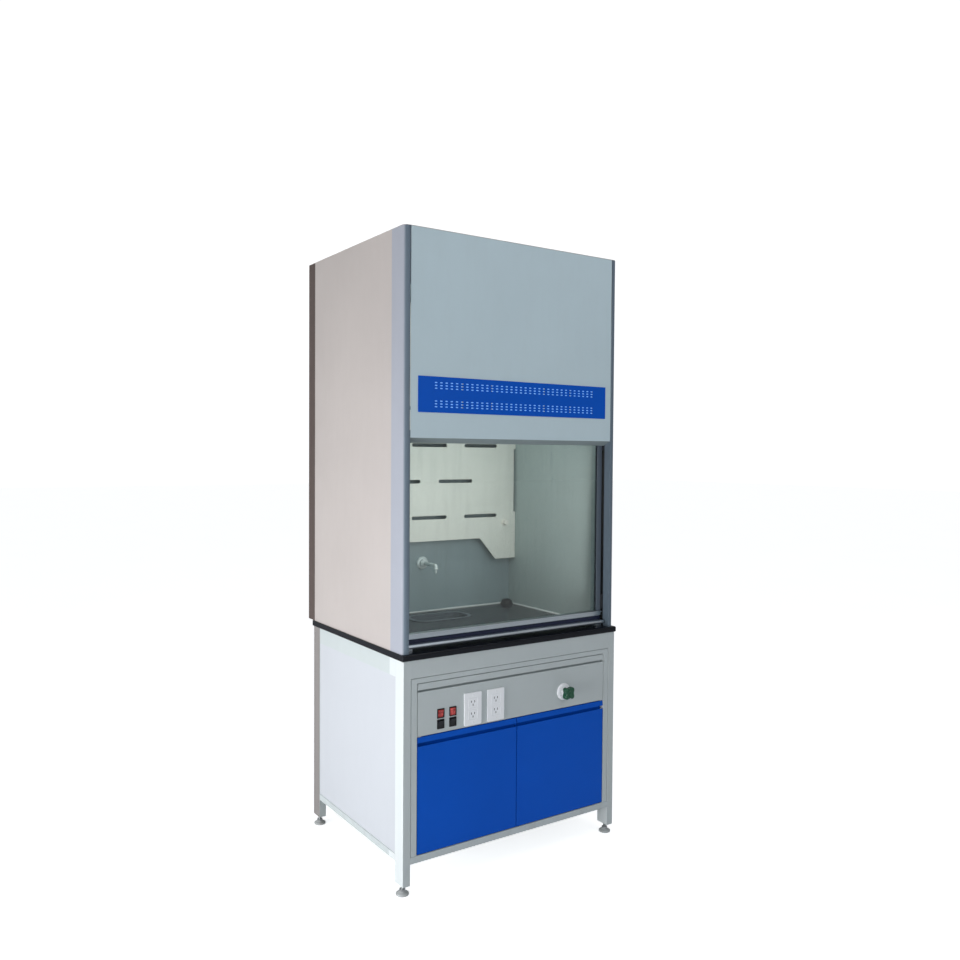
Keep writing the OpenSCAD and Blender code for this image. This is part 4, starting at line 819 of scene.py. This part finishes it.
def rocker(name, node, finish, body):
    """A rocker at its rest tilt, worked out upright and then turned about its pivot along X."""
    pivot = np.array(pivot_of(body))
    across = np.linspace(-1, 1, 13)
    along = np.linspace(-1, 1, 17)
    u, v = np.meshgrid(across, along)
    pinch = 1 - 0.05 * (np.abs(v) ** 6 + np.abs(u) ** 6) / 2
    scoop = -5 - 1.5 * v ** 2 + 0.9 * np.abs(u) ** 6
    face = np.stack([ROCKER_HALF[0] * u * pinch, scoop, ROCKER_HALF[1] * v * pinch], -1)
    side = []
    edge = np.concatenate([face[0, :-1], face[:-1, -1], face[-1, :0:-1], face[:0:-1, 0]])
    for inward, deep in ((1.0, 0.0), (1.0, 3.5), (0.85, 8.0), (0.4, 12.0), (0.0, 12.0)):
        ring = edge * (inward, 0, inward)
        ring[:, 1] = edge[:, 1] + deep if deep < 5 else deep - 4
        side.append(ring)
    tilt = math.radians(REST_TILT)
    turn = np.array([[1, 0, 0], [0, math.cos(tilt), -math.sin(tilt)], [0, math.sin(tilt), math.cos(tilt)]])
    pin = turned([(0, -13.2), (1.5, -13.2), (1.5, 13.2), (0, 13.2)], (0, 0, 0), "x", 16)
    bar = moulding([(box_outline(1.1, 5, 0.4, 3), depth) for depth in (-5.6, -5.0)], (0, 0, 6.5 * MM))
    parts = []
    for points, faces in [(face.reshape(-1, 3) * MM, grid_faces(17, 13, wrap_columns=False)),
                          (np.concatenate(side) * MM, grid_faces(5, len(edge))), pin, bar]:
        parts.append((np.asarray(points).reshape(-1, 3) @ turn.T + pivot, faces))
    return piece(name, parts, finish, body, [node])


for number in range(1, 5):
    rocker(f"rocker_cap_{number}", f"rocker_{number}", SLOT_OF[f"rocker_{number}"], f"switch_{number}")

# %% [markdown]
# The bezels are little picture frames. Their closed section is carried round a rounded rectangle: ring
# after ring of the same outline, shrunk or grown, from the back of the body round the lip and in again.

# %% Bezels
def frame_ring(outer, inner, depths, radius):
    """Rings of rounded rectangles between an outer and an inner size: each row is (share from outer to
    inner, height). The last row joins the first."""
    rings = []
    for share, height in depths:
        w = outer[0] + (inner[0] - outer[0]) * share
        h = outer[1] + (inner[1] - outer[1]) * share
        rings.append((box_outline(w, h, max(radius * (1 - share), 0.4)), height))
    cells = np.stack([np.column_stack([ring, np.full(len(ring), height)]) for ring, height in rings]) * MM
    return cells[..., [0, 2, 1]], grid_faces(len(rings), len(rings[0][0]), wrap_rows=True)


bezels = []
for number in range(1, 5):
    pivot = pivot_of(f"switch_{number}")
    at = np.array([pivot[0], PANEL_Y, pivot[2]])
    section = [(0, 0), (0, -1.2), (0.12, -1.9), (0.4, -2.1), (0.8, -1.9), (1, -1.2), (1, 18), (0.45, 18),
               (0.45, 0)]
    points, faces = frame_ring((31, 35), (24.2, 29.8), section, 2.2)
    bezels.append((points + at, faces))
    steps = ((26, 30, 17), (28, 32, 18), (28, 32, 22))
    bezels.append(moulding([(box_outline(w, h, 1), depth) for w, h, depth in steps], at))
piece("switch_bezels", bezels, "switch_black", "root", ["switch_housings"])

# %% [markdown]
# ## Sockets
# Each white plate carries two earthed outlets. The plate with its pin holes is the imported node's own
# shape, with its edges rolled. What a real plate has besides is a raised collar round each outlet and two
# screw caps, which are swept and turned and laid on it.

# %% Sockets
softened("socket_outlets", 1.0, 3)
lo, hi = corners("socket_outlets")
PLATE_W = 76 * MM
plate_x = [lo[0] + PLATE_W / 2, hi[0] - PLATE_W / 2]
plate_z = (lo[2] + hi[2]) / 2
COLLAR_ROWS = [(0, 0.2), (0.15, -0.9), (0.5, -1.1), (0.85, -0.9), (1, 0.2)]
SCREW_CAP = [(0, -0.9), (3.2, -0.8), (4, -0.3), (4.2, 0.3), (0, 0.3)]
OUTLETS_Z, SCREWS_Z = (-22, 22), (-51, 51)
trim, contacts = [], []
for x in plate_x:
    for z in OUTLETS_Z:
        points, faces = frame_ring((42, 38), (39, 35), COLLAR_ROWS, 6)
        trim.append((points + [x, lo[1], plate_z + z * MM], faces))
    trim += [turned(SCREW_CAP, (x, lo[1], plate_z + z * MM), "y", 24) for z in SCREWS_Z]
    for z in OUTLETS_Z:
        for side, low in ((-7, 1), (7, 1), (0, -11)):
            layers = [(box_outline(2.9, 7.9, 0.3, 3), depth) for depth in (1.0, 12.0)]
            contacts.append(moulding(layers, (x + side * MM, lo[1], plate_z + (z + low + 4) * MM)))
piece("socket_trim", trim, "service_white", "root")
piece("socket_contacts", contacts, "switch_black", "root")

# %% [markdown]
# ## Exhaust collar, cable port, thumb nuts and feet
# These are all turned parts. The collar ends in a rolled bead that stiffens its rim, the port's cap has a
# stepped dome, the thumb nuts are knurled by a fast small swing of the radius, and the feet have a soft
# pad, a lock nut and a threaded stud, whose thread is a fine saw-tooth profile.

# %% Turned fittings
lo, hi = corners("exhaust_collar")
middle = (lo + hi) / 2
deep = (hi[2] - lo[2]) / MM
roof = (float(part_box("roof_panel")[1].z) - lo[2]) / MM
flange = (hi[0] - lo[0]) / 2 / MM
duct = [(122, 0), (122, deep - 1.2), (122.8, deep - 0.2), (123.8, deep), (125, deep - 0.6), (125, deep - 2.4),
        (125, deep - 24), (125, deep - 27), (125, roof + 4), (126.5, roof + 2.4),
        (flange - 1, roof + 2), (flange, roof + 1.2), (flange, roof + 0.1), (123.5, roof + 0.1), (123.5, 0),
        (122, 0)]
piece("duct_collar", [turned(duct, (middle[0], middle[1], lo[2]), "z", 96)], "collar_grey", "root",
      ["exhaust_collar"])

lo, hi = corners("cable_port")
middle = (lo + hi) / 2
top = float(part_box("worktop")[1].z)
tail = (lo[2] - top) / MM
cap = [(0, tail), (20, tail), (20, -0.1), (20, 0.1), (29, 0.1), (30, 0.8), (30, 4.6), (29.2, 5.8),
       (26.4, 6.3, 1), (25.4, 9, 1), (23.6, 18.6, 1), (22.4, 20, 1), (19, 21.8), (14, 24), (9, 24.8), (0, 25)]
piece("cable_cap", [turned(cap, (middle[0], middle[1], top), "z", 72)], "port_black", "root",
      ["cable_port"])

lo, hi = corners("baffle_fixings")
BAFFLE_Y = float(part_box("baffle_lower")[0].y)
BAFFLE_T = float(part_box("baffle_lower")[1].y) - BAFFLE_Y
WASHER_R = 16
standoff = (hi[1] - BAFFLE_Y) / MM
washer = [(0, -5), (15.2, -5), (16, -4), (16, -0.8), (15.4, 0), (0, 0)]
grip = [(0, -23, 0), (10.2, -22.8, 0), (11.5, -21.6, 0.6), (12, -20, 1), (12, -7.4, 1), (11, -6.2, 0.4),
        (9.4, -5.4, 0), (0, -5, 0)]
spacer = [(0, BAFFLE_T / MM), (7, BAFFLE_T / MM), (7, standoff), (0, standoff)]
nuts = []
for x in (lo[0] + WASHER_R * MM, hi[0] - WASHER_R * MM):
    for z in (lo[2] + WASHER_R * MM, hi[2] - WASHER_R * MM):
        at = (x, BAFFLE_Y, z)
        nuts += [turned(washer, at, "y", 36), turned(grip, at, "y", 96, lobes=24, swing=0.035),
                 turned(spacer, at, "y", 24)]
piece("baffle_thumb_nuts", nuts, "nylon_white", "root", ["baffle_fixings"])

for corner in ("front_left", "front_right", "rear_left", "rear_right"):
    node = "foot_" + corner
    lo, hi = corners(node)
    middle = (lo + hi) / 2
    tall = (hi[2] - lo[2]) / MM
    thread_z = np.arange(24, tall - 1, 1.5)
    thread = np.column_stack([np.tile([6.0, 5.3], len(thread_z))[:len(thread_z) * 2],
                              np.column_stack([thread_z, thread_z + 0.75]).reshape(-1)])
    at = (middle[0], middle[1], lo[2])
    pad = [(0, 0), (22.4, 0), (23.6, 0.8), (24, 2), (24, 5.5), (23.2, 7), (21, 8.2), (15, 10.4), (11.4, 12.6),
           (11, 14), (0, 14)]
    piece(node + "_pad", [turned(pad, at, "z", 40)], "foot_grey", BODY_OF[node], [node])
    nut_rows = [(0, 14), (10.2, 14, 0.3), (11.4, 15, 1), (11.4, 21, 1), (10.2, 22, 0.3), (0, 22)]
    stud = [(0, 14), (6, 14), (6, 24), *thread.tolist(), (5.4, tall), (0, tall)]
    piece(node + "_stud", [turned(nut_rows, at, "z", 36, lobes=6, swing=0.055), turned(stud, at, "z", 24)],
          "screw_steel", BODY_OF[node])

# %% [markdown]
# ## Screws
# A pan-head screw is a low dome with a cross cut into it. On a polar grid the dome is
# height * (1 - (r / R) squared) to the power 0.6, and the cross lowers every point that is close to one
# of two bars. The same grid serves all eighteen, so one small array is copied to each place.

# %% Screws
def screw_head(radius, height):
    """A dome with a cross recess, as a polar grid that looks along +Z, in metres."""
    r = np.concatenate([[0, 0.15, 0.3, 0.42, 0.5, 0.62, 0.8, 0.93, 1.0, 1.0]])[:, None]
    a = (np.arange(32) * TAU / 32)[None, :]
    x, y = r * np.cos(a), r * np.sin(a)
    dome = height * np.clip(1 - r ** 2, 0, 1) ** 0.6 + 0 * a
    bars = ((np.minimum(np.abs(x), np.abs(y)) < 0.13) & (r < 0.55)).astype(float)
    z = dome - 0.55 * height * bars
    z[-1] = -0.2 * MM
    return np.stack([x * radius, y * radius, z], -1), grid_faces(10, 32)


head, head_faces = screw_head(4 * MM, 2.2 * MM)
points, triangles = welded("panel_screws")
labels = np.arange(len(points))
for _ in range(40):
    spread = labels[triangles].min(1)
    before = labels.copy()
    np.minimum.at(labels, triangles.reshape(-1), np.repeat(spread, 3))
    if (before == labels).all():
        break
screws = []
for label in np.unique(labels[triangles]):
    island = points[labels == label]
    mid, size = (island.min(0) + island.max(0)) / 2, np.ptp(island, axis=0)
    if size[1] < size[2]:
        flat = island[:, 1].min()
        screws.append((head[..., [0, 2, 1]] + [mid[0], flat, mid[2]], head_faces))
    else:
        screws.append((head + [mid[0], mid[1], island[:, 2].min()], head_faces))
piece("pan_head_screws", screws, "screw_steel", "root", ["panel_screws"])
print(len(screws), "screws")

# %% [markdown]
# ## Wire ropes
# The sash hangs from two ropes that run over the pulleys to the counterweight. The fixed run is one tube
# along the top, with a quarter circle over each pulley. The two hanging runs change length. Such a rope
# has rings only at its ends, so its surface stays straight between them. The strands are in the material,
# on the rope's own UV map.

# %% Ropes
def rope(name, runs, node, ends=None):
    """Runs are lists of points with the same X. UV is (place round the rope, length along it in metres)."""
    sides, radius = 12, 1.5 * MM
    parts = [tube(run, radius, (1, 0, 0), sides) for run in runs]
    made = piece(name, parts, "cable_steel", None if ends else "root", [node], sharp=60)
    mesh = made.data
    layer = mesh.uv_layers.new(name="rope")
    corners = np.empty(len(mesh.loops), int)
    mesh.loops.foreach_get("vertex_index", corners)
    places = np.empty(len(mesh.vertices) * 3)
    mesh.vertices.foreach_get("co", places)
    places = places.reshape(-1, 3)[corners]
    off = places[:, 0] - np.where(places[:, 0] < 0, runs[0][0][0], runs[1][0][0])
    along = places[:, 1] - places[:, 2]
    uv = np.column_stack([off / radius, along])
    layer.data.foreach_set("uv", uv.astype(np.float32).reshape(-1))
    if ends:
        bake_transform(made)
    return made


lo, hi = corners("cable_top_runs")
ROPE_X = hi[0] - 1.5 * MM
WHEEL_R = hi[2] - 1.5 * MM - lo[2]
front_y, rear_y = lo[1] + 1.5 * MM + WHEEL_R, hi[1] - 1.5 * MM - WHEEL_R
over = np.concatenate([arc((front_y, lo[2]), WHEEL_R, 180, 90, 14), arc((rear_y, lo[2]), WHEEL_R, 90, 0, 14)])
rope("rope_over_pulleys", [np.column_stack([np.full(len(over), x), over]) for x in (-ROPE_X, ROPE_X)],
     "cable_top_runs")
for name, node, body in (("rope_to_sash", "cable_sash_runs", "sash"),
                         ("rope_to_weight", "cable_weight_runs", "balance_weight")):
    lo, hi = corners(node)
    y = (lo[1] + hi[1]) / 2
    steps = [hi[2], hi[2] - 0.05 * MM, lo[2] + 0.05 * MM, lo[2]]
    rope(name, [[(x, y, z) for z in steps] for x in (-ROPE_X, ROPE_X)], node,
         ("root", body, (0, y, hi[2] - 0.1 * MM), (0, y, lo[2] + 0.1 * MM)))

# %% [markdown]
# ## Sealant and the screen behind the vents
# Silicone is gunned into the corner where the worktop meets the walls. A bead is a quarter round whose
# size wanders a little along its length. Behind the vent slots lies a pale pleated screen, whose depth is a
# triangle wave across its width. The screen glows though it is no lamp: its emission is painted light that
# makes the slots look lit.

# %% Beads and screens
def bead(start, stop, inward, seed):
    """A quarter-round along a line: point (i, a) is at size_i * (cos a * inward + sin a * up), and size_i
    is 4.5 mm with a smooth wander."""
    n = 90
    t = np.linspace(0, 1, n)
    wander = sum(np.sin(t * k * 9.0 + seed * k) / k for k in (1, 2, 3))
    size = (4.5 + 0.5 * wander) * MM
    a = np.radians(np.linspace(0, 90, 7))
    line = np.asarray(start) + t[:, None] * (np.asarray(stop) - np.asarray(start))
    ring = np.cos(a)[:, None] * np.asarray(inward, float) + np.sin(a)[:, None] * np.array([0, 0, 1.0])
    curve = line[:, None] + size[:, None, None] * ring[None]
    points = np.concatenate([curve, line[:, None]], 1)
    points = np.concatenate([np.repeat(line[:1, None], 8, 1), points, np.repeat(line[-1:, None], 8, 1)])
    return points.reshape(-1, 3), grid_faces(n + 2, 8)


skinned("sealant", "D5DBDA", 0.35, cloud=0.05, peel=0.2, size=200.0, grime=0.0)
liner_x = float(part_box("back_liner")[1].x)
liner_y = float(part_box("back_liner")[0].y)
start_y = float(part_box("side_liners")[0].y)
beads = [bead((-liner_x, liner_y, top), (liner_x, liner_y, top), (0, -1, 0), 1.0)]
beads += [bead((side * liner_x, start_y, top), (side * liner_x, liner_y, top), (-side, 0, 0), 2.0 + side)
          for side in (-1, 1)]
piece("silicone_beads", beads, "sealant", "root")

# Painted light: the screen glows with a pale blue emission, though it is no lamp.
net, shader, where = skinned("screen_pale", "8FC4FA", 0.6, cloud=0.05, grime=0.0, Emission_Strength=0.45)
shader.inputs["Emission Color"].default_value = paint("6FB0F5")
strip_lo, strip_hi = corners("vent_strip")
strip_z = (strip_lo[2] + strip_hi[2]) / 2
screens = []
PLEAT, SCREEN_HALF, SLOT_ROW = 0.004, 0.372, 33
for band in (-SLOT_ROW, SLOT_ROW):
    x = np.linspace(-SCREEN_HALF, SCREEN_HALF, 745)
    fold = np.abs(((x / PLEAT) % 1) - 0.5) * 2 * 0.5 * MM
    z = strip_z + (band + np.array([-17.5, 17.5])) * MM
    face = np.stack([np.stack([x, strip_hi[1] + 0.15 * MM + fold, np.full_like(x, h)], -1) for h in z])
    screens.append((face.reshape(-1, 3), grid_faces(2, len(x), wrap_columns=False)))
screen = piece("vent_screens", screens, "screen_pale", "root", sharp=20)
thick = screen.modifiers.new("sheet", "SOLIDIFY")
thick.thickness = 0.2 * MM
thick.offset = 0

# %% [markdown]
# ## Floor
# The floor is one pale plane, far larger than the hood, so that its edge lies behind the horizon. It is
# staging and not part of the hood.

# %% Floor
net, shader, where = start("floor_pale", Roughness=0.8, Specular_IOR_Level=0.1)
cloud = net.remap(net.noise(where, 1.2, 4.0), 0.3, 0.7)
net.put(shader.inputs["Base Color"], net.mix(cloud, paint("F7F8F9"), paint("FBFCFD")))
shader.inputs["Emission Color"].default_value = paint("FDFEFF")
net.put(shader.inputs["Emission Strength"],
        net.remap(net.node("LightPath").outputs["Is Camera Ray"], 0.0, 1.0, 0.0, 0.72))
reach = 40.0
plane = bpy.data.meshes.new("floor")
ends = ((-1, -1), (1, -1), (1, 1), (-1, 1))
plane.from_pydata([(x * reach, y * reach, 0) for x, y in ends], [], [(0, 1, 2, 3)])
plane.materials.append(MATERIALS["floor_pale"])
stand("floor", plane)

# %% Update the view layer
bpy.context.view_layer.update()
